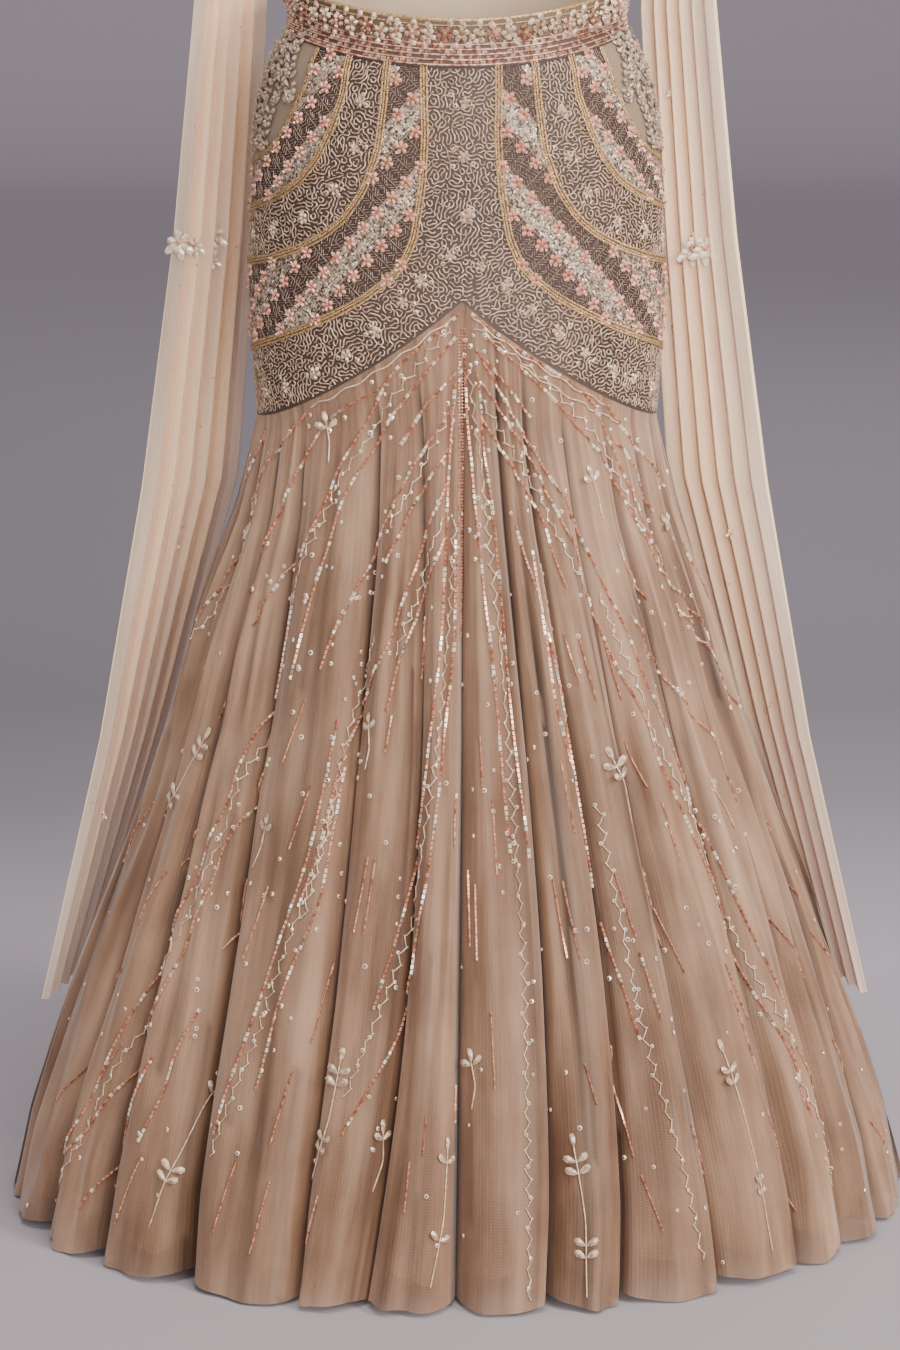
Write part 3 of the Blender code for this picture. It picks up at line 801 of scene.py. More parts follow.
VERMICELLI_STEP = 0.0010
VERMICELLI_SPACING = 0.0031
WORM_POINTS = 34            # about, in one stitched length of it
for half in HALVES:
    stitches = Stitches()
    reach = girth_table(half)[1][-1]
    field = meander_field(0.36, 2 * reach, VERMICELLI_STEP, VERMICELLI_SPACING)
    for chain in level_lines(field, VERMICELLI_STEP):
        angle = angle_at(np.clip(chain[:, 0] - reach, -reach, reach), half)
        drop = chain[:, 1]
        zone = arc_zone(angle, drop)
        inside = (drop > yoke_start(angle, half) + 0.001) & (drop < yoke_edge(angle) - 0.002)
        keep = inside & ((zone == 0) | (zone == 2)) & (np.abs(angle) < 89.0)
        splits = np.nonzero(np.diff(keep.astype(int)))[0] + 1
        for part, chosen in zip(np.split(np.arange(len(chain)), splits), np.split(keep, splits)):
            if not chosen[0] or len(part) < 4:
                continue
            for worm in np.array_split(part, max(1, len(part) // WORM_POINTS)):
                worm = worm[:-2:2] if len(worm) > 12 else worm[::2]
                if len(worm) < 3:
                    continue
                points, out = hip_with_normal(angle[worm], drop[worm], half)
                stitches.cord(points + out * 0.0005, out, 0.00072, 3)
    stitches.make(f"vermicelli_{half}", "silver_cord", "yoke_cloth", smooth=True)


for half in HALVES:
    for side_name, side in (("left", -1.0), ("right", 1.0)):
        for name in ARC_NAMES:
            path = smooth_path(ARCS[name], 150 if name != "fine" else 90)
            points, out = hip_with_normal(side * path[:, 0], path[:, 1], half, 0.0)
            along = unit(np.gradient(points, axis=0))
            across = np.cross(out, along)
            cords = Stitches()
            strands = (-0.0025, 0.0, 0.0025) if name != "fine" else (-0.0011, 0.0012)
            for number, offset in enumerate(strands):
                centre = points + across * offset + out * 0.0010
                cords.cord(centre, out, 0.00074, 5)
                length = distances(centre)
                even = np.arange(0.0, length[-1], 0.0021)
                twist, way, rise = (read_at(even, length, values) for values in (centre, along, out))
                rise = unit(rise)
                lean = 0.55 if number % 2 else -0.55
                cords.add(BUGLE, twist + rise * 0.0003, way + lean * np.cross(rise, way), rise,
                          (0.0031, 0.0013, 0.0012))
            piece = cords.make(f"arc_{name}_{half}_{side_name}", "gold_cord", "gold_cord", smooth=True)
            if name != "fine":
                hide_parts(f"cord_{name}_{half}_{side_name}")


CELL_LENGTH = 0.0178        # along a strip of the patchwork
STRIP_WIDTH = 0.0225
STRIP_SLOPE = math.radians(43.0)
DARK_SHARE = 0.56           # part of the pair of strips that is the dark one
UP = np.array((0.0, 0.0, 1.0))


PETALS = 5


def flower(petals, middles, centres, out, size):
    """Flowers of petals round a bead, at each centre, each turned its own way."""
    spin = chance.uniform(0, math.tau, len(centres))
    side = unit(np.cross(UP, out))
    rise = np.cross(out, side)
    size = np.broadcast_to(size, len(centres))
    for petal in range(PETALS):
        turn = (spin + math.tau * petal / PETALS)[:, None]
        along = np.cos(turn) * side + np.sin(turn) * rise
        petals.add(PETAL, centres + along * size[:, None] * 0.04, along, out,
                   np.stack((size * 0.50, size * 0.50, size * 0.7), -1))
    middles.add(BEAD, centres + out * 0.0008, side, out, np.stack((size * 0.3,) * 3, -1))


class Quarter:
    """Patchwork of one quarter of the yoke, measured along its slanting strips and across them."""

    def __init__(self, half, side):
        self.half = half
        self.side = side
        self.reach = girth_table(half)[1][-1]

    def place(self, run, cross, lift):
        girth = run * math.sin(STRIP_SLOPE) + cross * math.cos(STRIP_SLOPE)
        drop = run * math.cos(STRIP_SLOPE) - cross * math.sin(STRIP_SLOPE)
        angle = self.side * angle_at(np.clip(girth, 0.0, self.reach), self.half)
        points, out = hip_with_normal(angle, drop, self.half, lift)
        return angle, drop, points, out

    def spots(self, run, cross, lift, margin=0.0):
        """Points that lie on the patchwork, with the ways out, along the strips and across them."""
        angle, drop, points, out = self.place(run, cross, lift)
        ahead = self.place(run + 0.002, cross, lift)[2]
        zone = arc_zone(angle, drop)
        inner_zone = arc_zone(np.abs(angle) + margin, drop)
        fits = (((zone == 1) | (zone == 3)) & (inner_zone == zone) & (np.abs(angle) < 88.5)
                & (drop > yoke_start(angle, self.half) + 0.002))
        along = unit(ahead - points)
        return points[fits], out[fits], along[fits], np.cross(out, along)[fits]


def dealt(kind, *parts):
    """For each part (name, low, high), the name and the spots whose random kind lies in it."""
    for name, low, high in parts:
        yield name, (kind >= low) & (kind < high)


def patchwork(half):
    strips_of_beads, silver, brown, lines, pink, copper = (Stitches() for _ in range(6))
    for side in (-1.0, 1.0):
        quarter = Quarter(half, side)
        runs, strips = np.meshgrid(np.arange(-3, 27), np.arange(-16, 14, 2))
        centre_run = (runs.reshape(-1) + 0.5) * CELL_LENGTH
        dark_cross = strips.reshape(-1) * STRIP_WIDTH
        width = DARK_SHARE * STRIP_WIDTH * 2

        # Dark squares in nine parts each, so that they end near the arcs, with hatched threads over them
        for run_part in (-1, 0, 1):
            for cross_part in (-1, 0, 1):
                points, out, along, across = quarter.spots(
                    centre_run + run_part * CELL_LENGTH * 0.32,
                    dark_cross + cross_part * width * 0.32, 0.0003)
                brown.add(SQUARE, points, along, out, (CELL_LENGTH * 0.38, width * 0.38, 0.004))
                way = 1.0 if (run_part + cross_part) % 2 else -1.0
                lean = way * chance.uniform(0.2, 1.4, (len(points), 1))
                for shift in (-0.10, 0.02, 0.13):
                    lines.add(BUGLE, points + across * (shift * width) + out * 0.0003,
                              along + lean * across, out, (CELL_LENGTH * 0.30, 0.00050, 0.0005))
        # Threads round each square
        for shift in (-0.5, 0.5):
            for part in (-0.25, 0.25):
                points, out, along, across = quarter.spots(
                    centre_run + shift * CELL_LENGTH, dark_cross + part * width, 0.0008)
                lines.add(BUGLE, points, across, out, (width * 0.5, 0.0011, 0.0008))
                points, out, along, across = quarter.spots(
                    centre_run + part * CELL_LENGTH, dark_cross + shift * width, 0.0008)
                lines.add(BUGLE, points, along, out, (CELL_LENGTH * 0.5, 0.0010, 0.0008))

        for cross in (dark_cross + 0.38 * STRIP_WIDTH, dark_cross + 1.34 * STRIP_WIDTH):
            points, out, along, across = quarter.spots(centre_run, cross, 0.0012, 1.4)
            flower(pink, copper, points, out, 0.0112)
            silver.add(BEAD, points + along * 0.0060, along, out, (0.0030, 0.0030, 0.0030))
            silver.add(BEAD, points - across * 0.0054, along, out, (0.0024, 0.0024, 0.0024))

        # Sequins over the light strips, set a little unevenly
        run, cross = np.meshgrid(np.arange(-0.06, 0.47, 0.0020), np.arange(-0.36, 0.30, 0.0020))
        run = (run + chance.uniform(-0.0006, 0.0006, run.shape)).reshape(-1)
        cross = (cross + chance.uniform(-0.0006, 0.0006, cross.shape)).reshape(-1)
        within = (cross + width / 2) % (2 * STRIP_WIDTH)
        light = within > width + 0.0010
        points, out, along, across = quarter.spots(run[light], cross[light], 0.0003)
        turn = chance.uniform(0, math.tau, (len(points), 1))
        way = np.cos(turn) * along + np.sin(turn) * across
        kind = chance.random(len(points))
        tilt = unit(out + way * 0.2)
        for stitches, chosen in dealt(kind, (strips_of_beads, 0.0, 0.80), (silver, 0.80, 0.91)):
            stitches.add(SEQUIN, points[chosen], way[chosen], tilt[chosen], (0.0025, 0.0025, 0.003))
    for name, stitches, look in (
            ("strips", strips_of_beads, "strip_beads"), ("spangles", silver, "silver_beads"),
            ("squares", brown, "brown_thread"), ("threads", lines, "beige_thread"),
            ("flowers", pink, "pink_beads"), ("flower_beads", copper, "copper_beads")):
        stitches.make(f"patch_{name}_{half}", look, "yoke_cloth")


# Flowers on the vermicelli: degrees, drop and size
YOKE_FLOWERS = np.array((
    (1.0, 0.072, 0.012), (0.5, 0.117, 0.013), (1.5, 0.167, 0.017), (-3.0, 0.200, 0.013),
    (5.0, 0.209, 0.012), (12.0, 0.226, 0.014), (-11.0, 0.222, 0.014), (19.0, 0.246, 0.012),
    (-16.0, 0.240, 0.013), (27.0, 0.265, 0.014), (-24.0, 0.266, 0.015), (36.0, 0.285, 0.013),
    (-33.0, 0.286, 0.013), (47.0, 0.302, 0.013), (-44.0, 0.303, 0.015), (57.0, 0.312, 0.013),
    (-57.0, 0.318, 0.013), (70.0, 0.322, 0.012), (-70.0, 0.326, 0.013), (30.0, 0.080, 0.012),
    (-30.0, 0.072, 0.012), (31.0, 0.118, 0.012), (-31.0, 0.112, 0.012), (37.0, 0.150, 0.013),
    (-37.0, 0.146, 0.013), (48.0, 0.176, 0.013), (-48.0, 0.172, 0.013), (62.0, 0.186, 0.012),
    (-62.0, 0.184, 0.012), (76.0, 0.194, 0.011), (-76.0, 0.190, 0.011),
))


def yoke_flowers(half):
    petals, middles = Stitches(), Stitches()
    places, out = hip_with_normal(YOKE_FLOWERS[:, 0], YOKE_FLOWERS[:, 1], half, 0.0018)
    flower(petals, middles, places, out, YOKE_FLOWERS[:, 2] * 0.78)
    around = np.repeat(np.arange(len(YOKE_FLOWERS)), 4)
    angle = YOKE_FLOWERS[around, 0] + chance.uniform(-4.0, 4.0, len(around))
    drop = YOKE_FLOWERS[around, 1] + chance.uniform(-0.009, 0.009, len(around))
    places, out = hip_with_normal(angle, drop, half, 0.0010)
    petals.add(RING, places, np.cross(out, UP), out, (0.0044, 0.0044, 0.003))

    # Raised vines of leaves at the sides
    vines = Stitches()
    for side in (-1.0, 1.0):
        for number, stem in enumerate((62.0, 69.0, 76.0, 83.0, 88.5)):
            drops = np.arange(0.022 + 0.003 * (number % 2), 0.128, 0.0068)
            angles = np.minimum(stem + 2.6 * np.sin(drops * 75.0 + stem), 89.5)
            fits = arc_zone(angles - 4.0, drops) == 4
            places, out = hip_with_normal(side * angles[fits], drops[fits], half, 0.0022)
            way = chance.uniform(-1.0, 1.0, (len(places), 1))
            for lean in (-0.9, 0.9):
                along = UP * (0.8 + 0.4 * way) + (lean + 0.5 * way) * np.cross(out, UP)
                vines.add(LEAF, places, along, unit(out + 0.35 * way * UP), (0.0105, 0.0120, 0.014))
            flower(vines, middles, places[1::3] + out[1::3] * 0.001, out[1::3], 0.0100)
    vines.make(f"side_vines_{half}", "strip_beads", "yoke_cloth")
    petals.make(f"yoke_flowers_{half}", "leaf_beads", "yoke_cloth")
    middles.make(f"yoke_flower_beads_{half}", "pink_beads", "yoke_cloth")


# Waistband: metres below its top edge of its cords, and of its rows of bugles with their step and length
BAND_CORDS = (0.0192, 0.0234, 0.0276, 0.0318, 0.0360)
BUGLE_ROWS = ((0.0213, 0.0068, 0.0038), (0.0255, 0.0050, 0.0044),
              (0.0297, 0.0068, 0.0038), (0.0339, 0.0052, 0.0044))
BAND_FLOWER_STEP = 0.0132
LOOSE_BAND_BEADS = 420


def on_band(angle, below, half, lift):
    return hip_with_normal(angle, below - band_top(angle, half), half, 0.001 + lift)


def band_spots(step, half, shift=0.0):
    """Degrees of places an even step apart round half the band."""
    reach = girth_table(half, 0.0)[1][-1]
    count = int(2 * reach / step)
    return angle_at((np.arange(count) + 0.5 + shift) * (2 * reach / count) - reach, half, 0.0)


def band_beads(half):
    piping = Stitches()
    points, out = on_band(SEAM_TO_SEAM, 0.0, half, -0.0012)
    piping.cord(points + UP * 0.0014, out, 0.0019, 8)
    points, out = on_band(SEAM_TO_SEAM, 0.0033, half, 0.0003)
    piping.cord(points, out, 0.0007, 5)
    piece = piping.make(f"band_piping_{half}", "gold_cord", "gold_cord", smooth=True)
    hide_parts(f"waist_piping_{half}")
    cords = Stitches()
    for below in BAND_CORDS:
        points, out = on_band(SEAM_TO_SEAM, below, half, 0.0006)
        cords.cord(points, out, 0.00085, 5)
    piece = cords.make(f"band_cords_{half}", "rose_beads", "rose_cord", smooth=True)
    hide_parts(f"waist_cords_{half}")

    silver, rose, copper = Stitches(), Stitches(), Stitches()
    for row, (below, step, length) in enumerate(BUGLE_ROWS):
        spots = band_spots(step, half, 0.25 * (row % 2))
        points, out = on_band(spots, below, half, 0.0002)
        along = np.cross(out, UP)
        kind = chance.random(len(spots))
        for stitches, chosen in dealt(kind, (silver, 0.0, 0.30), (rose, 0.30, 0.62), (copper, 0.62, 0.74)):
            stitches.add(BUGLE, points[chosen], along[chosen], out[chosen], (length, 0.0026, 0.0018))

    spots = band_spots(BAND_FLOWER_STEP, half)
    count = len(spots)
    points, out = on_band(spots, 0.0112 + 0.0016 * np.sin(np.arange(count) * 2.2), half, 0.0018)
    for number, (petals, middles) in enumerate(((silver, copper), (rose, silver), (silver, rose),
                                                (copper, silver), (silver, copper))):
        flower(petals, middles, points[number::5], out[number::5], 0.0136)
    spots = band_spots(BAND_FLOWER_STEP / 2, half, 0.5)
    count = len(spots)
    side = np.where(np.arange(count) % 2 == 0, 1.0, -1.0)
    points, out = on_band(spots, 0.0112 + 0.0052 * side, half, 0.0008)
    lean = chance.uniform(-1.0, 1.0, (count, 1))
    way = lean * np.cross(out, UP) - side[:, None] * UP * 0.6
    silver.add(LEAF, points, way, out, (0.0085, 0.0120, 0.014))
    spots = chance.uniform(-89.0, 89.0, LOOSE_BAND_BEADS)
    points, out = on_band(spots, chance.uniform(0.0050, 0.0178, LOOSE_BAND_BEADS), half, 0.0004)
    across = np.cross(out, UP)
    for stitches, chosen in ((silver, slice(0, 190)), (copper, slice(190, 300)), (rose, slice(300, None))):
        stitches.add(BEAD, points[chosen], across[chosen], out[chosen], (0.0026, 0.0026, 0.0028))
    spots = band_spots(0.0024, half)
    points, out = on_band(spots, 0.0181, half, 0.0004)
    copper.add(BEAD, points, np.cross(out, UP), out, (0.0022, 0.0018, 0.0022))
    for name, stitches, look in (("silver", silver, "band_silver"), ("rose", rose, "rose_beads"),
                                 ("copper", copper, "copper_beads")):
        stitches.make(f"band_{name}_{half}", look, "band_beadwork")


for half in HALVES:
    patchwork(half)
    yoke_flowers(half)
    band_beads(half)


# Net embroidery, laid out from the photograph: each line is a list of degrees and drop.
# "Bead" lines alternate runs of rose and silver bugles; "curl" lines are pale cord that wanders in hooks.
BEAD_LINES = (
    ((-1, 0.25), (-20, 0.30), (-35, 0.38), (-45, 0.47), (-44, 0.58)),
    ((-2, 0.27), (-21, 0.34), (-32, 0.40), (-37, 0.47), (-38, 0.56)),
    ((-2, 0.30), (-11, 0.33), (-17, 0.36)),
    ((-3, 0.33), (-14, 0.38), (-22, 0.44), (-29, 0.51), (-32, 0.55)),
    ((-3, 0.36), (-13, 0.41), (-19, 0.46)),
    ((-4, 0.39), (-10, 0.44), (-16, 0.52), (-24, 0.60), (-26, 0.69), (-28, 0.74)),
    ((-5, 0.44), (-10, 0.49), (-13, 0.53), (-16, 0.58)),
    ((-2, 0.31), (-4, 0.42), (-5, 0.51), (-7, 0.62), (-9, 0.71), (-14, 0.82)),
    ((-2, 0.44), (-2, 0.52), (-4, 0.60), (-6, 0.69), (-10, 0.84), (-17, 0.92)),
    ((-21, 0.31), (-40, 0.34), (-50, 0.38), (-56, 0.44), (-61, 0.50)),
    ((-50, 0.34), (-67, 0.39), (-73, 0.45)),
    ((-71, 0.36), (-81, 0.41), (-85, 0.48)),
    ((-67, 0.43), (-77, 0.51), (-84, 0.63)),
    ((-48, 0.47), (-54, 0.52)),
    ((-45, 0.58), (-50, 0.69), (-58, 0.85), (-63, 0.95), (-68, 1.03)),
    ((-42, 0.63), (-47, 0.72), (-52, 0.84), (-57, 0.92), (-64, 0.98)),
    ((-44, 0.84), (-46, 0.89), (-49, 0.95)),
    ((-50, 0.88), (-54, 0.97), (-58, 1.02)),
    ((-26, 0.59), (-28, 0.71), (-33, 0.83), (-36, 0.93)),
    ((-24, 0.63), (-25, 0.74), (-29, 0.82), (-31, 0.89)),
    ((3, 0.25), (25, 0.29), (44, 0.34), (54, 0.43), (61, 0.49), (72, 0.55), (78, 0.61)),
    ((7, 0.27), (29, 0.33), (44, 0.38), (55, 0.46), (64, 0.53), (76, 0.60)),
    ((7, 0.29), (15, 0.32), (20, 0.34)),
    ((45, 0.33), (58, 0.37), (74, 0.41)),
    ((47, 0.36), (54, 0.38), (62, 0.43)),
    ((77, 0.46), (81, 0.52)),
    ((42, 0.45), (49, 0.50)),
    ((41, 0.51), (51, 0.58), (62, 0.64)),
    ((4, 0.28), (19, 0.36), (30, 0.42), (37, 0.50), (46, 0.63), (51, 0.72), (53, 0.80), (58, 0.93)),
    ((6, 0.31), (19, 0.37), (28, 0.44), (32, 0.51), (41, 0.63), (44, 0.68), (47, 0.74)),
    ((6, 0.34), (12, 0.37), (21, 0.42), (25, 0.48)),
    ((4, 0.30), (8, 0.42), (9, 0.51), (10, 0.60), (11, 0.70)),
    ((1, 0.30), (4, 0.44), (6, 0.54), (8, 0.70)),
    ((14, 0.43), (19, 0.51), (21, 0.60), (22, 0.73)),
    ((17, 0.45), (19, 0.57), (21, 0.63)),
    ((47, 0.73), (50, 0.82), (55, 0.94)),
    ((23, 0.76), (26, 0.85)),
    ((28, 0.78), (29, 0.83)),
)
CURL_LINES = (
    ((-3, 0.26), (-22, 0.33), (-36, 0.40), (-46, 0.50)),
    ((-3, 0.33), (-11, 0.38), (-19, 0.43)),
    ((-5, 0.42), (-9, 0.46), (-15, 0.54)),
    ((-2, 0.42), (-3, 0.50), (-6, 0.63), (-9, 0.75), (-17, 0.89)),
    ((-67, 0.44), (-74, 0.51), (-82, 0.58)),
    ((-20, 0.52), (-24, 0.58), (-25, 0.67), (-27, 0.75)),
    ((-45, 0.61), (-49, 0.72), (-55, 0.84), (-64, 1.01)),
    ((-25, 0.66), (-27, 0.73), (-31, 0.82), (-36, 0.95)),
    ((4, 0.26), (25, 0.31), (45, 0.37), (53, 0.44), (60, 0.50), (69, 0.56)),
    ((5, 0.32), (13, 0.36), (22, 0.41), (30, 0.49)),
    ((2, 0.29), (6, 0.41), (8, 0.54), (9, 0.66), (9, 0.78), (8, 0.90), (7, 1.05)),
    ((19, 0.46), (21, 0.54), (21, 0.60)),
    ((34, 0.49), (39, 0.58), (46, 0.68), (50, 0.78), (55, 0.91), (58, 1.02)),
    ((25, 0.66), (26, 0.76), (27, 0.87), (30, 1.03)),
)
# Short lines of rose beads: degrees, drop and length
DASHES = np.array((
    (-9, 0.53, 0.05), (-15, 0.60, 0.03), (-16, 0.73, 0.06), (-17.5, 0.73, 0.06), (-2, 0.67, 0.04),
    (0.5, 0.74, 0.06), (1.6, 0.75, 0.06), (3, 0.62, 0.04), (5, 0.68, 0.06), (19, 0.65, 0.06),
    (15.5, 0.75, 0.06), (17, 0.75, 0.06), (24, 0.54, 0.04), (27, 0.55, 0.05), (34, 0.55, 0.06),
    (27, 0.74, 0.05), (33, 0.75, 0.07), (35, 0.78, 0.05), (39, 0.69, 0.05), (35, 0.63, 0.04),
    (64, 0.81, 0.06), (72, 0.74, 0.07), (62, 0.65, 0.06), (69, 0.93, 0.07), (46, 0.83, 0.05),
    (-56, 0.71, 0.04), (-62, 0.76, 0.05), (-68, 0.85, 0.05), (-42, 0.76, 0.06), (-36, 0.76, 0.06),
    (-31, 0.67, 0.05), (-58, 0.57, 0.07), (-35, 0.60, 0.05), (-49, 0.99, 0.06), (-23, 0.82, 0.06),
    (-26, 0.90, 0.06), (-27, 0.99, 0.06), (-33, 0.98, 0.06), (-71, 0.93, 0.05), (-6, 0.92, 0.03),
    (-8, 0.96, 0.04), (-2, 0.90, 0.03), (3.5, 0.85, 0.06), (17, 0.88, 0.03), (22, 0.90, 0.09),
    (24, 0.98, 0.04), (33, 0.95, 0.05), (47, 0.97, 0.09), (45, 0.86, 0.07), (-20, 0.99, 0.04),
    (80, 0.84, 0.06), (-79, 0.72, 0.06), (76, 1.00, 0.05), (-60, 0.90, 0.04),
))
# Leafy sprigs: degrees and drop at the top and at the foot of the stem, and pairs of leaves in a group
SPRIGS = (
    (-41, 0.345, -39, 0.38, 1), (-61, 0.62, -70, 0.70, 2), (-38, 0.68, -40, 0.72, 1),
    (-19, 0.59, -19, 0.63, 1), (-41, 0.90, -44, 1.02, 2), (-18, 0.86, -21, 0.96, 2),
    (-3, 0.93, -5, 1.04, 1), (-12, 0.92, -13, 0.97, 1), (29, 0.62, 32, 0.68, 2), (55, 0.66, 58, 0.70, 1),
    (39, 0.87, 41, 1.04, 2), (14, 0.93, 14, 1.05, 2), (66, 0.44, 70, 0.46, 1), (37, 0.39, 39, 0.43, 1),
    (0.5, 0.86, 0.5, 0.90, 1),
)


RINGS_BY_LINES = 300
LOOSE_RINGS = 160


def at_drop(angle, drop):
    """Share of the way down the net at a drop."""
    first = yoke_edge(angle)
    return np.clip((drop - first) / (FLOOR_DROP - first), 0.004, 0.996)


def rounded_path(places):
    """Fine points along a line through the places, with its corners rounded."""
    places = np.array(places, float)
    fine = np.linspace(0, 1, 60 * len(places))
    steps = np.linspace(0, 1, len(places))
    path = read_at(fine, steps, places)
    weights = np.hanning(61)
    weights /= weights.sum()
    padded = np.concatenate((2 * path[0] - path[30:0:-1], path, 2 * path[-1] - path[-2:-32:-1]))
    return np.stack([np.convolve(padded[:, column], weights, "valid") for column in range(2)], -1)


def net_line(places, half, pitch):
    """Spots an even pitch apart on the net: how far along, point, way out, way along, way across."""
    path = rounded_path(places)
    angle, drop = -SIDE[half] * path[:, 0], path[:, 1]
    share = at_drop(angle, drop)
    points, out = net_with_normal(net_column(angle, share, half), share, half)
    steps = distances(points)
    even = np.arange(0.0, steps[-1], pitch)
    points, out = read_at(even, steps, points), unit(read_at(even, steps, out))
    along = unit(np.gradient(points, axis=0)) if len(points) > 1 else points
    return even, points, out, along, np.cross(out, along)


def bead_line(places, number, half, rose, silver, dull):
    """A ray: runs of rose bugles between runs of silver and dull ones."""
    even, points, out, along, across = net_line(places, half, 0.0046)
    if len(points) < 3:
        return
    run = np.sin(even * 210.0 + 1.7 * number) + 0.7 * np.sin(even * 83.0 + number)
    bright = run > 0.5
    kind = chance.random(len(even))
    spots = points + out * 0.0006
    rose.add(BUGLE, spots[~bright], along[~bright], out[~bright], (0.0040, 0.0026, 0.0019))
    tilt = unit(out + 0.25 * np.sin(31.0 * even + number)[:, None] * across)
    for stitches, chosen in dealt(np.where(bright, kind, -1.0), (silver, 0.0, 0.68), (dull, 0.68, 1.0)):
        stitches.add(BUGLE, spots[chosen], along[chosen], tilt[chosen], (0.0039, 0.0031, 0.0020))


def curl_line(places, number, half, cords, silver):
    """A cord that loops along the line, with a ring on it at intervals."""
    even, points, out, along, across = net_line(places, half, 0.0010)
    phase = even * (math.tau / 0.0165) + 1.3 * number + 0.6 * np.sin(even * 23.0 + number)
    swing = (0.0030 + 0.0008 * np.sin(even * 37.0 + 2.0 * number)) * np.sin(phase)
    wander = 0.0020 * np.sin(2.0 * phase + 0.4)
    line = points + across * swing[:, None] + along * wander[:, None] + out * 0.0008
    cords.cord(line, out, 0.00066, 3)
    knots = np.arange(8, len(even) - 4, 25)
    silver.add(RING, line[knots] + out[knots] * 0.0006, along[knots], out[knots], (0.0036, 0.0036, 0.003))


def sprig(top, foot, pairs, half, cords, leaves):
    """A stem with a leaf at its top and groups of paired leaves along it."""
    middle = ((top[0] + foot[0]) / 2 + 0.6, (top[1] + foot[1]) / 2)
    even, points, out, along, across = net_line((top, middle, foot), half, 0.0025)
    lifted = points + out * 0.0010
    cords.cord(lifted, out, 0.0007, 4)
    leaves.add(LEAF, lifted[:1] + along[:1] * 0.003, -along[:1], out[:1], (0.0135, 0.0135, 0.014))
    groups = [0.16] if even[-1] < 0.08 else [0.12, 0.66]
    for group in groups:
        for pair in range(pairs):
            knot = min(int(group * len(even)) + 4 * pair, len(even) - 1)
            for lean in (-1.0, 1.0):
                way = -along[knot:knot + 1] * 0.55 + lean * across[knot:knot + 1]
                leaves.add(LEAF, lifted[knot:knot + 1], way, out[knot:knot + 1], (0.0130, 0.0140, 0.014))


def embroider_net(half):
    rose, silver, dull, cords, leaves = (Stitches() for _ in range(5))
    for number, places in enumerate(BEAD_LINES):
        bead_line(places, number, half, rose, silver, dull)
    for number, places in enumerate(CURL_LINES):
        curl_line(places, number, half, cords, silver)
    for angle, drop, length in DASHES:
        lean = 0.03 * angle
        places = ((angle - lean, drop - length / 2), (angle, drop), (angle + lean, drop + length / 2))
        _, points, out, along, _ = net_line(places, half, 0.0036)
        rose.add(BUGLE, points + out * 0.0006, along, out, (0.0034, 0.0018, 0.0015))

    # Cords that follow the edge of the yoke, and rose beads in the centre pleat
    for start, end, gap in ((-3, -47, 0.006), (3, 47, 0.006), (16, 51, 0.016)):
        angles = np.linspace(start, end, 7)
        edge = list(zip(angles, yoke_edge(angles) + gap))
        even, points, out, _, across = net_line(edge, half, 0.0012)
        swing = 0.0012 * np.sin(even * 210.0)
        cords.cord(points + across * swing[:, None] + out * 0.0008, out, 0.0008, 4)
    for shift in (-0.9, 0.0, 0.9):
        pleat = ((shift, 0.262), (shift - 0.3, 0.38), (shift - 1, 0.52))
        _, points, out, along, _ = net_line(pleat, half, 0.0028)
        rose.add(BEAD, points + out * 0.0004, along, out, (0.0024, 0.0024, 0.0024))

    # Ring spangles, most of them near the lines
    beside = np.array([place for places in BEAD_LINES + CURL_LINES for place in places])
    beside = beside[chance.integers(0, len(beside), RINGS_BY_LINES)] + np.stack(
        (chance.normal(0.0, 3.5, RINGS_BY_LINES), chance.normal(0.0, 0.022, RINGS_BY_LINES)), -1)
    angle = np.concatenate((beside[:, 0], chance.uniform(-86.0, 86.0, LOOSE_RINGS)))
    drop = np.concatenate((beside[:, 1], chance.uniform(0.40, 1.04, LOOSE_RINGS)))
    angle = np.clip(angle, -87.0, 87.0) * -SIDE[half]
    drop = np.clip(drop, yoke_edge(angle) + 0.012, FLOOR_DROP - 0.012)
    share = at_drop(angle, drop)
    points, out = net_with_normal(net_column(angle, share, half), share, half)
    silver.add(RING, points + out * 0.0006, np.cross(out, UP), out,
               np.repeat(chance.uniform(0.0032, 0.0048, len(points)), 3).reshape(-1, 3))

    for top_angle, top_drop, foot_angle, foot_drop, pairs in SPRIGS:
        sprig((top_angle, top_drop), (foot_angle, foot_drop), pairs, half, cords, leaves)
    rose.make(f"ray_bugles_{half}", "ray_rose", "rose_cord")
    for name, stitches, look in (("spangles", silver, "silver_beads"), ("bugles", dull, "strip_beads"),
                                 ("sprigs", leaves, "leaf_beads")):
        stitches.make(f"net_{name}_{half}", look, "net_cloth")
    cords.make(f"net_cords_{half}", "net_cord", "net_cloth", smooth=True)


for half in HALVES:
    embroider_net(half)


# Shoulder panels: height, x and y of the outer edge, x and y of the inner edge, fold size
PANEL_ROWS = np.array((
    (0.4247, 0.150, -0.004, 0.150, 0.028, 0.0000),
    (0.4218, 0.170, -0.002, 0.170, 0.034, 0.0000),
    (0.4000, 0.181, 0.012, 0.177, 0.048, 0.0010),
    (0.3300, 0.198, 0.034, 0.178, 0.078, 0.0050),
    (0.1500, 0.215, 0.036, 0.172, 0.088, 0.0090),
    (0.0000, 0.2284, 0.034, 0.165, 0.086, 0.0110),
    (-0.2000, 0.2486, 0.036, 0.177, 0.094, 0.0120),
    (-0.4200, 0.2790, 0.040, 0.195, 0.125, 0.0130),
    (-0.6500, 0.3200, 0.042, 0.259, 0.165, 0.0140),
    (-0.8940, 0.3770, 0.042, 0.335, 0.215, 0.0150),
))
PANEL_PLEATS = 6
PANEL_BEADS = 34
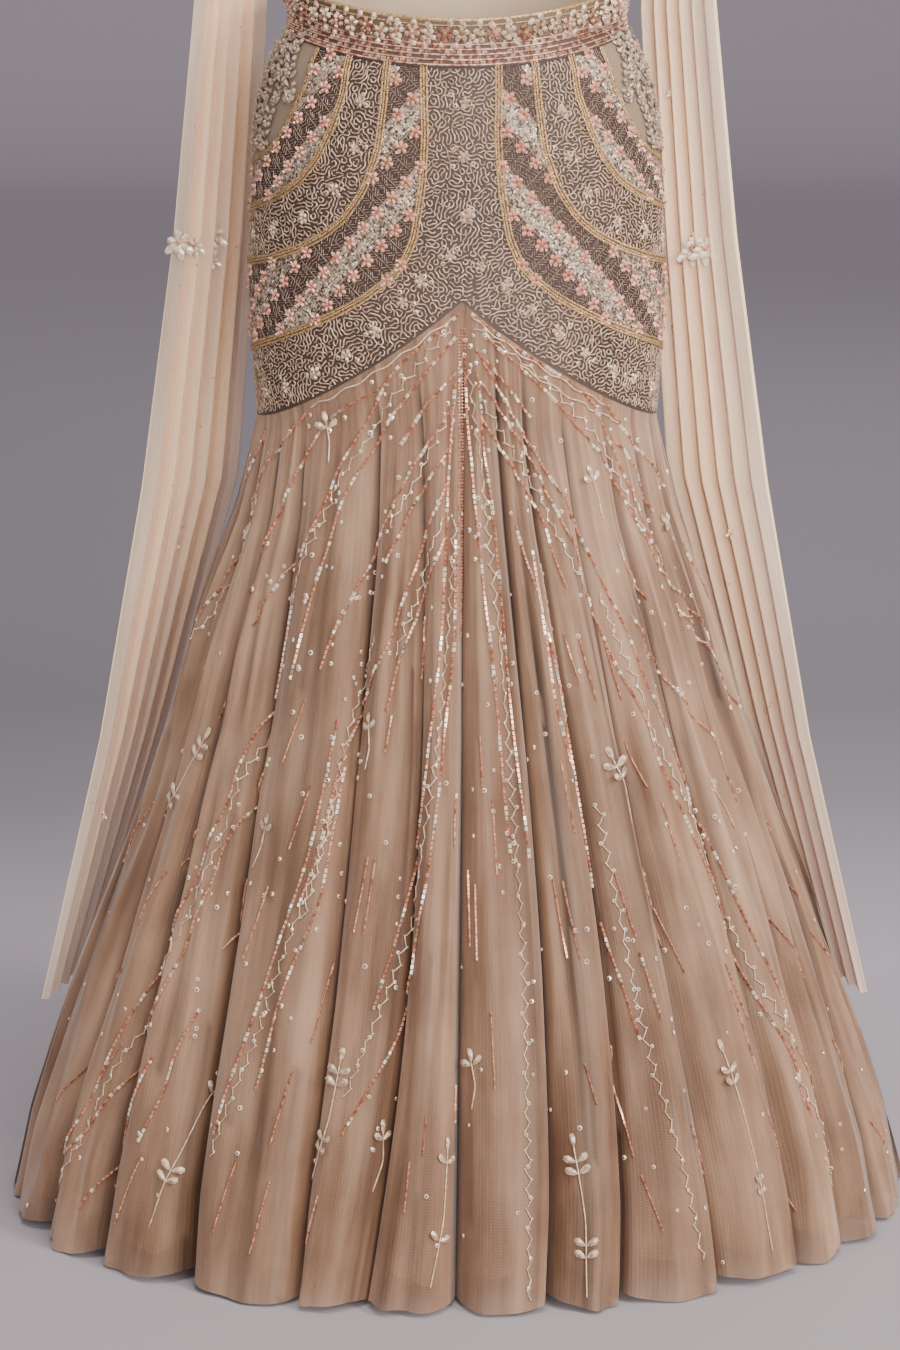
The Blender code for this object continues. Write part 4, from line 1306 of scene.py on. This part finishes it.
# Flowers on the panels: part of the way across from the outer edge, height and size
PANEL_FLOWERS = {
    "left": ((0.10, -0.203, 0.021), (0.30, -0.207, 0.014), (0.64, -0.200, 0.020), (0.62, -0.221, 0.015),
             (0.45, -0.480, 0.007), (0.30, -0.725, 0.007)),
    "right": ((0.25, -0.212, 0.021), (0.50, -0.214, 0.021), (0.38, -0.204, 0.013), (0.58, -0.075, 0.009),
              (0.40, -0.470, 0.007), (0.55, -0.640, 0.007)),
}


def panel_middle(share_across):
    """0 at the flat edges of a panel and 1 where it hangs in folds."""
    return np.clip(np.minimum((share_across - 0.06) / 0.24, (0.98 - share_across) / 0.10), 0.0, 1.0)


def panel_fold(share_across, height, side):
    """Which fold of a panel a place is on, counted from the outer edge, and how far across that fold."""
    wander = (0.8 * np.sin(2.6 * height + 1.3 * side)
              + 0.5 * np.sin(7.0 * share_across + 2.2 * height + 0.8 * side)
              + 0.13 * np.sin(21.0 * share_across + 2.0 * side)) * np.sin(math.pi * share_across)
    place = np.clip(PANEL_PLEATS * share_across + wander, 0.0, PANEL_PLEATS)
    number = np.floor(place)
    return number, place - number


def panel(share_across, height, side):
    """Points on a shoulder panel: flat folds, each stepping back behind the one outside it."""
    heights, *columns = PANEL_ROWS[::-1].T
    outer_x, outer_y, inner_x, inner_y, fold = (np.interp(height, heights, column) for column in columns)
    number, part = panel_fold(share_across, height, side)
    back = np.clip((part - 0.52) / 0.48, 0.0, 1.0)
    back = back * back * (3.0 - 2.0 * back)
    over = np.interp(part, (0.0, 0.50, 0.60, 0.90, 1.0), (0.0, 0.97, 1.06, 1.00, 1.0))
    folded = np.clip(fold / 0.010, 0.0, 1.0)
    step = share_across + folded * ((number + back) / PANEL_PLEATS - share_across)
    across = share_across + folded * ((number + over) / PANEL_PLEATS - share_across)
    bulge = 0.30 * fold * np.sin(math.pi * part) * panel_middle(share_across)
    x = outer_x + (inner_x - outer_x) * across
    y = outer_y + (inner_y - outer_y) * step - bulge
    return np.stack(np.broadcast_arrays(side * x, y, height), -1)


def hang_panel(name, side):
    shares = np.linspace(0.0, 1.0, PANEL_PLEATS * 32 + 1)[None]
    heights = np.concatenate((np.linspace(0.4258, 0.34, 14), np.linspace(0.32, -0.892, 76)))[:, None]
    grid = panel(shares, heights, side)
    piece = make_sheet(f"cape_net_{name}", grid, "cape_net", flip=side > 0)
    number, part = panel_fold(shares, heights, side)
    lapped = np.clip((part - 0.30) / 0.22, 0.0, 1.0)
    layers = panel_middle(shares) * (0.62 + 0.20 * lapped + 0.16 * np.sin(2.1 * number + side))
    # Fewer layers low down, more in the right panel, and a dense outer edge
    thinned = 1.0 - 0.45 * np.clip((-0.40 - heights) / 0.35, 0.0, 1.0)
    layers = layers * thinned + 0.10 * (side > 0) * layers
    layers = np.maximum(layers, 0.9 * (shares < 0.012))
    add_shade(piece, "layers", layers)
    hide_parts(f"cape_{name}")

    petals, beads = Stitches(), Stitches()
    facing = np.array((side * 0.25, -1.0, 0.0))
    for share, height, size in PANEL_FLOWERS[name]:
        centre = panel(np.array((share,)), np.array((height,)), side) + facing * 0.004
        out = unit(facing)[None]
        flower(petals, beads, centre, out, size)
        for lean in (-1.0, 0.1, 1.0):
            petals.add(LEAF, centre, np.array(((lean, 0.0, -0.75),)), out,
                       (size * 0.8, size * 0.7, size * 0.5))
    spots = panel(chance.uniform(0.05, 0.95, PANEL_BEADS), chance.uniform(-0.85, 0.35, PANEL_BEADS), side)
    out = np.tile(unit(facing), (PANEL_BEADS, 1))
    along = np.tile((1.0, 0.0, 0.0), (PANEL_BEADS, 1))
    beads.add(BEAD, spots + facing * 0.004, along, out, (0.0022, 0.0022, 0.0020))
    petals.make(f"cape_flowers_{name}", "silver_beads", "sheer_net")
    beads.make(f"cape_beads_{name}", "pink_beads", "sheer_net")


for name, side in (("left", -1.0), ("right", 1.0)):
    hang_panel(name, side)


# Choli: height, half width, depth of the front and depth of the back
CHOLI_RINGS = np.array((
    (0.130, 0.128, 0.092, 0.092),
    (0.172, 0.133, 0.099, 0.090),
    (0.216, 0.143, 0.115, 0.086),
    (0.260, 0.151, 0.122, 0.085),
))
# Top edge of each half: degrees at the bust, x, depth and height
CHOLI_EDGE = {
    "front": np.array((
        (0.0, 0.000, 0.088, 0.335), (11.0, 0.030, 0.086, 0.341), (19.0, 0.054, 0.077, 0.364),
        (25.0, 0.069, 0.048, 0.405), (29.0, 0.076, 0.000, 0.436), (38.0, 0.108, 0.000, 0.431),
        (46.0, 0.142, 0.000, 0.425), (51.0, 0.166, 0.000, 0.420), (57.0, 0.150, 0.036, 0.385),
        (64.0, 0.137, 0.060, 0.350), (73.0, 0.139, 0.054, 0.322), (82.0, 0.150, 0.027, 0.305),
        (90.0, 0.156, 0.000, 0.300),
    )),
    "back": np.array((
        (0.0, 0.000, 0.062, 0.402), (11.0, 0.030, 0.058, 0.404), (19.0, 0.054, 0.043, 0.414),
        (25.0, 0.069, 0.020, 0.428), (29.0, 0.076, 0.000, 0.436), (38.0, 0.108, 0.000, 0.431),
        (46.0, 0.142, 0.000, 0.425), (51.0, 0.166, 0.000, 0.420), (57.0, 0.152, 0.040, 0.385),
        (64.0, 0.141, 0.068, 0.350), (73.0, 0.143, 0.060, 0.322), (82.0, 0.151, 0.028, 0.305),
        (90.0, 0.156, 0.000, 0.300),
    )),
}


def choli_ring(angle, height, half):
    """Points below the bust, with the fullness that the front's darts give."""
    width = np.interp(height, CHOLI_RINGS[:, 0], CHOLI_RINGS[:, 1])
    depth = np.interp(height, CHOLI_RINGS[:, 0], CHOLI_RINGS[:, 2 if half == "front" else 3])
    if half == "front":
        depth = depth + (0.010 * np.exp(-((np.abs(angle) - 27.0) / 16.0) ** 2)
                         * np.exp(-((height - 0.255) / 0.045) ** 2))
    turn = np.radians(angle)
    return np.stack(np.broadcast_arrays(width * np.sin(turn), SIDE[half] * depth * np.cos(turn), height), -1)


BUST_HEIGHT = 0.260
ROWS_ABOVE_BUST = 24
UP_THE_CHOLI = np.linspace(1.0, 0.0, ROWS_ABOVE_BUST + 1)
for half in HALVES:
    table = CHOLI_EDGE[half]
    knots = np.concatenate((-table[:0:-1, 0], table[:, 0]))
    angles = np.unique(np.concatenate([np.linspace(start, end, 5)
                                       for start, end in zip(knots[:-1], knots[1:])]))
    edge = read_at(np.abs(angles), table[:, 0], table[:, 1:])
    edge[:, 0] *= np.sign(angles)
    edge[:, 1] *= SIDE[half]
    bust = choli_ring(angles, BUST_HEIGHT, half)
    bend = np.stack(((bust[:, 0] + edge[:, 0]) / 2, bust[:, 1] * 0.95,
                     bust[:, 2] + 0.72 * (edge[:, 2] - bust[:, 2])), -1)
    flat = np.abs(angles) > 60.0
    bend[flat] = (bust[flat] + edge[flat]) / 2
    rows = [(1 - share) ** 2 * bust + 2 * share * (1 - share) * bend + share ** 2 * edge
            for share in UP_THE_CHOLI]
    rows += [choli_ring(angles, height, half) for height in np.linspace(0.256, 0.130, 22)]
    grid = np.array(rows)
    piece = make_sheet(f"choli_cloth_{half}", grid, "choli_cloth", flip=half == "back")
    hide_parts(f"choli_{half}")
    edging = Stitches()
    out = np.tile((0.0, SIDE[half], 0.0), (len(angles), 1)) + np.array((0.0, 0.0, 0.3))
    edging.cord(edge + np.array((0.0, 0.0, 0.0004)), unit(out), 0.0011, 6)
    edging.cord(grid[-1], unit(grid[-1] * (1.0, 1.0, 0.0)), 0.0011, 6)
    edging.make(f"choli_piping_{half}", "gold_cord", "gold_cord", smooth=True)


# Stage, light and camera, in metres and watts

BACKDROP_HALF = 14.0        # half its width, and how far it comes forward
BEND_START = 10.5
BEND_RADIUS = 1.5
BACKDROP_TOP = 4.0
TONES_FROM, TONES_TO = -1.0, 11.5
# Painted light and shade of the floor and wall: the paper's tone from near the camera to far behind and up
# the wall, against how far back it lies
PAINTED_FLOOR_LIGHT = tuple(((back - TONES_FROM) / (TONES_TO - TONES_FROM), linear(*tone)) for back, tone in (
    (TONES_FROM, (161, 151, 155)), (-0.42, (164, 155, 159)), (0.83, (179, 169, 177)),
    (1.61, (144, 137, 144)), (2.25, (132, 126, 132)), (3.04, (143, 136, 143)), (5.4, (160, 152, 159)),
    (10.0, (186, 177, 184)), (TONES_TO, (203, 194, 201))))


def add_stage():
    """Floor that curves up into a wall far behind, with light and shade painted along it."""
    turns = np.linspace(0.0, math.pi / 2, 24)
    profile = [(-BACKDROP_HALF, 0.0), (0.0, 0.0)]
    profile += [(BEND_START + BEND_RADIUS * math.sin(turn), BEND_RADIUS * (1 - math.cos(turn)))
                for turn in turns]
    profile.append((BEND_START + BEND_RADIUS, BACKDROP_TOP))
    points = [(x, y, z - FLOOR_DROP - 0.001) for y, z in profile for x in (-BACKDROP_HALF, BACKDROP_HALF)]
    faces = [(2 * row, 2 * row + 1, 2 * row + 3, 2 * row + 2) for row in range(len(profile) - 1)]
    mesh = bpy.data.meshes.new("backdrop")
    mesh.from_pydata(points, [], faces)
    mesh.polygons.foreach_set("use_smooth", np.full(len(mesh.polygons), True))
    tree, shader = new_material("backdrop_paper", linear(176, 170, 178), 0.9)
    coords = add_node(tree, "ShaderNodeTexCoord")
    apart = add_node(tree, "ShaderNodeSeparateXYZ")
    tree.links.new(coords.outputs["Object"], apart.inputs["Vector"])
    span = add_node(tree, "ShaderNodeMapRange")
    span.inputs["From Min"].default_value = TONES_FROM
    span.inputs["From Max"].default_value = TONES_TO
    tree.links.new(apart.outputs["Y"], span.inputs["Value"])
    # The ramp paints the fall of light and shade along the paper into its colour
    ramp = add_node(tree, "ShaderNodeValToRGB")
    stops = ramp.color_ramp.elements
    stops[0].color = PAINTED_FLOOR_LIGHT[0][1]
    stops[1].color = PAINTED_FLOOR_LIGHT[-1][1]
    for position, colour in PAINTED_FLOOR_LIGHT[1:-1]:
        stops.new(position).color = colour
    tree.links.new(span.outputs["Result"], ramp.inputs["Fac"])
    tree.links.new(ramp.outputs["Color"], shader.inputs["Base Color"])
    mesh.materials.append(LOOKS["backdrop_paper"])
    add_object("backdrop", mesh)


def add_light(name, kind, place, aim, power):
    light = bpy.data.lights.new(name, kind)
    light.energy = power
    lamp = add_object(name, light)
    lamp.location = place
    lamp.rotation_euler = (Vector(aim) - Vector(place)).to_track_quat("-Z", "Y").to_euler()
    return light


add_stage()
# Large lights: place, what they are aimed at, width and height, power and colour
WHITE = (1.0, 1.0, 1.0)
for name, place, aim, size, power, colour in (
        ("key_light", (2.9, -2.9, 1.9), (0.0, 0.0, -0.45), (0.9, 1.6), 166.0, (1.0, 0.965, 0.93)),
        ("front_light", (1.3, -4.2, 0.9), (0.0, 0.0, -0.4), (2.0, 1.8), 150.0, (1.0, 0.975, 0.95)),
        ("fill_light", (-3.0, -3.2, 1.2), (0.0, 0.0, -0.5), (1.8, 2.2), 31.0, WHITE),
        ("back_light", (1.6, 5.2, 3.0), (0.0, 0.0, -0.5), (2.0, 1.6), 45.0, WHITE),
        ("top_light", (0.2, -1.2, 3.2), (0.0, 0.0, -0.6), (1.6, 1.4), 70.0, WHITE)):
    light = add_light(name, "AREA", place, aim, power)
    light.shape = "RECTANGLE"
    light.size, light.size_y = size
    light.color = colour
# Soft spots on the two shoulder panels: place, aim, spread in degrees and power
for name, place, aim, spread, power in (
        ("right_panel_light", (0.2, -4.0, 0.7), (0.43, 0.06, -0.28), 13.5, 800.0),
        ("left_panel_light", (-1.4, -3.8, 0.1), (-0.37, 0.08, -0.64), 9.5, 320.0)):
    light = add_light(name, "SPOT", place, aim, power)
    light.spot_size = math.radians(spread)
    light.spot_blend = 1.0
    light.shadow_soft_size = 0.35

world = bpy.data.worlds.new("studio_air")
world.use_nodes = True
air = world.node_tree.nodes["Background"]
air.inputs["Color"].default_value = (0.97, 0.95, 1.0, 1.0)
air.inputs["Strength"].default_value = 0.40
bpy.context.scene.world = world

CAMERA_DISTANCE = 4.0
CAMERA_HEIGHT = 0.19
CAMERA_TURN = math.radians(1.8)      # the garment faces a little to the right of the camera
CAMERA_TILT = math.radians(10.98)
camera_data = bpy.data.cameras.new("camera")
camera_data.lens = 122.13
camera_data.sensor_width = 36.0
camera_data.shift_x = -7.0 / 1350.0
camera = add_object("camera", camera_data)
camera.location = (-CAMERA_DISTANCE * math.sin(CAMERA_TURN), -CAMERA_DISTANCE * math.cos(CAMERA_TURN),
                   CAMERA_HEIGHT)
camera.rotation_euler = (math.pi / 2 - CAMERA_TILT, 0.0, -CAMERA_TURN)
bpy.context.scene.camera = camera
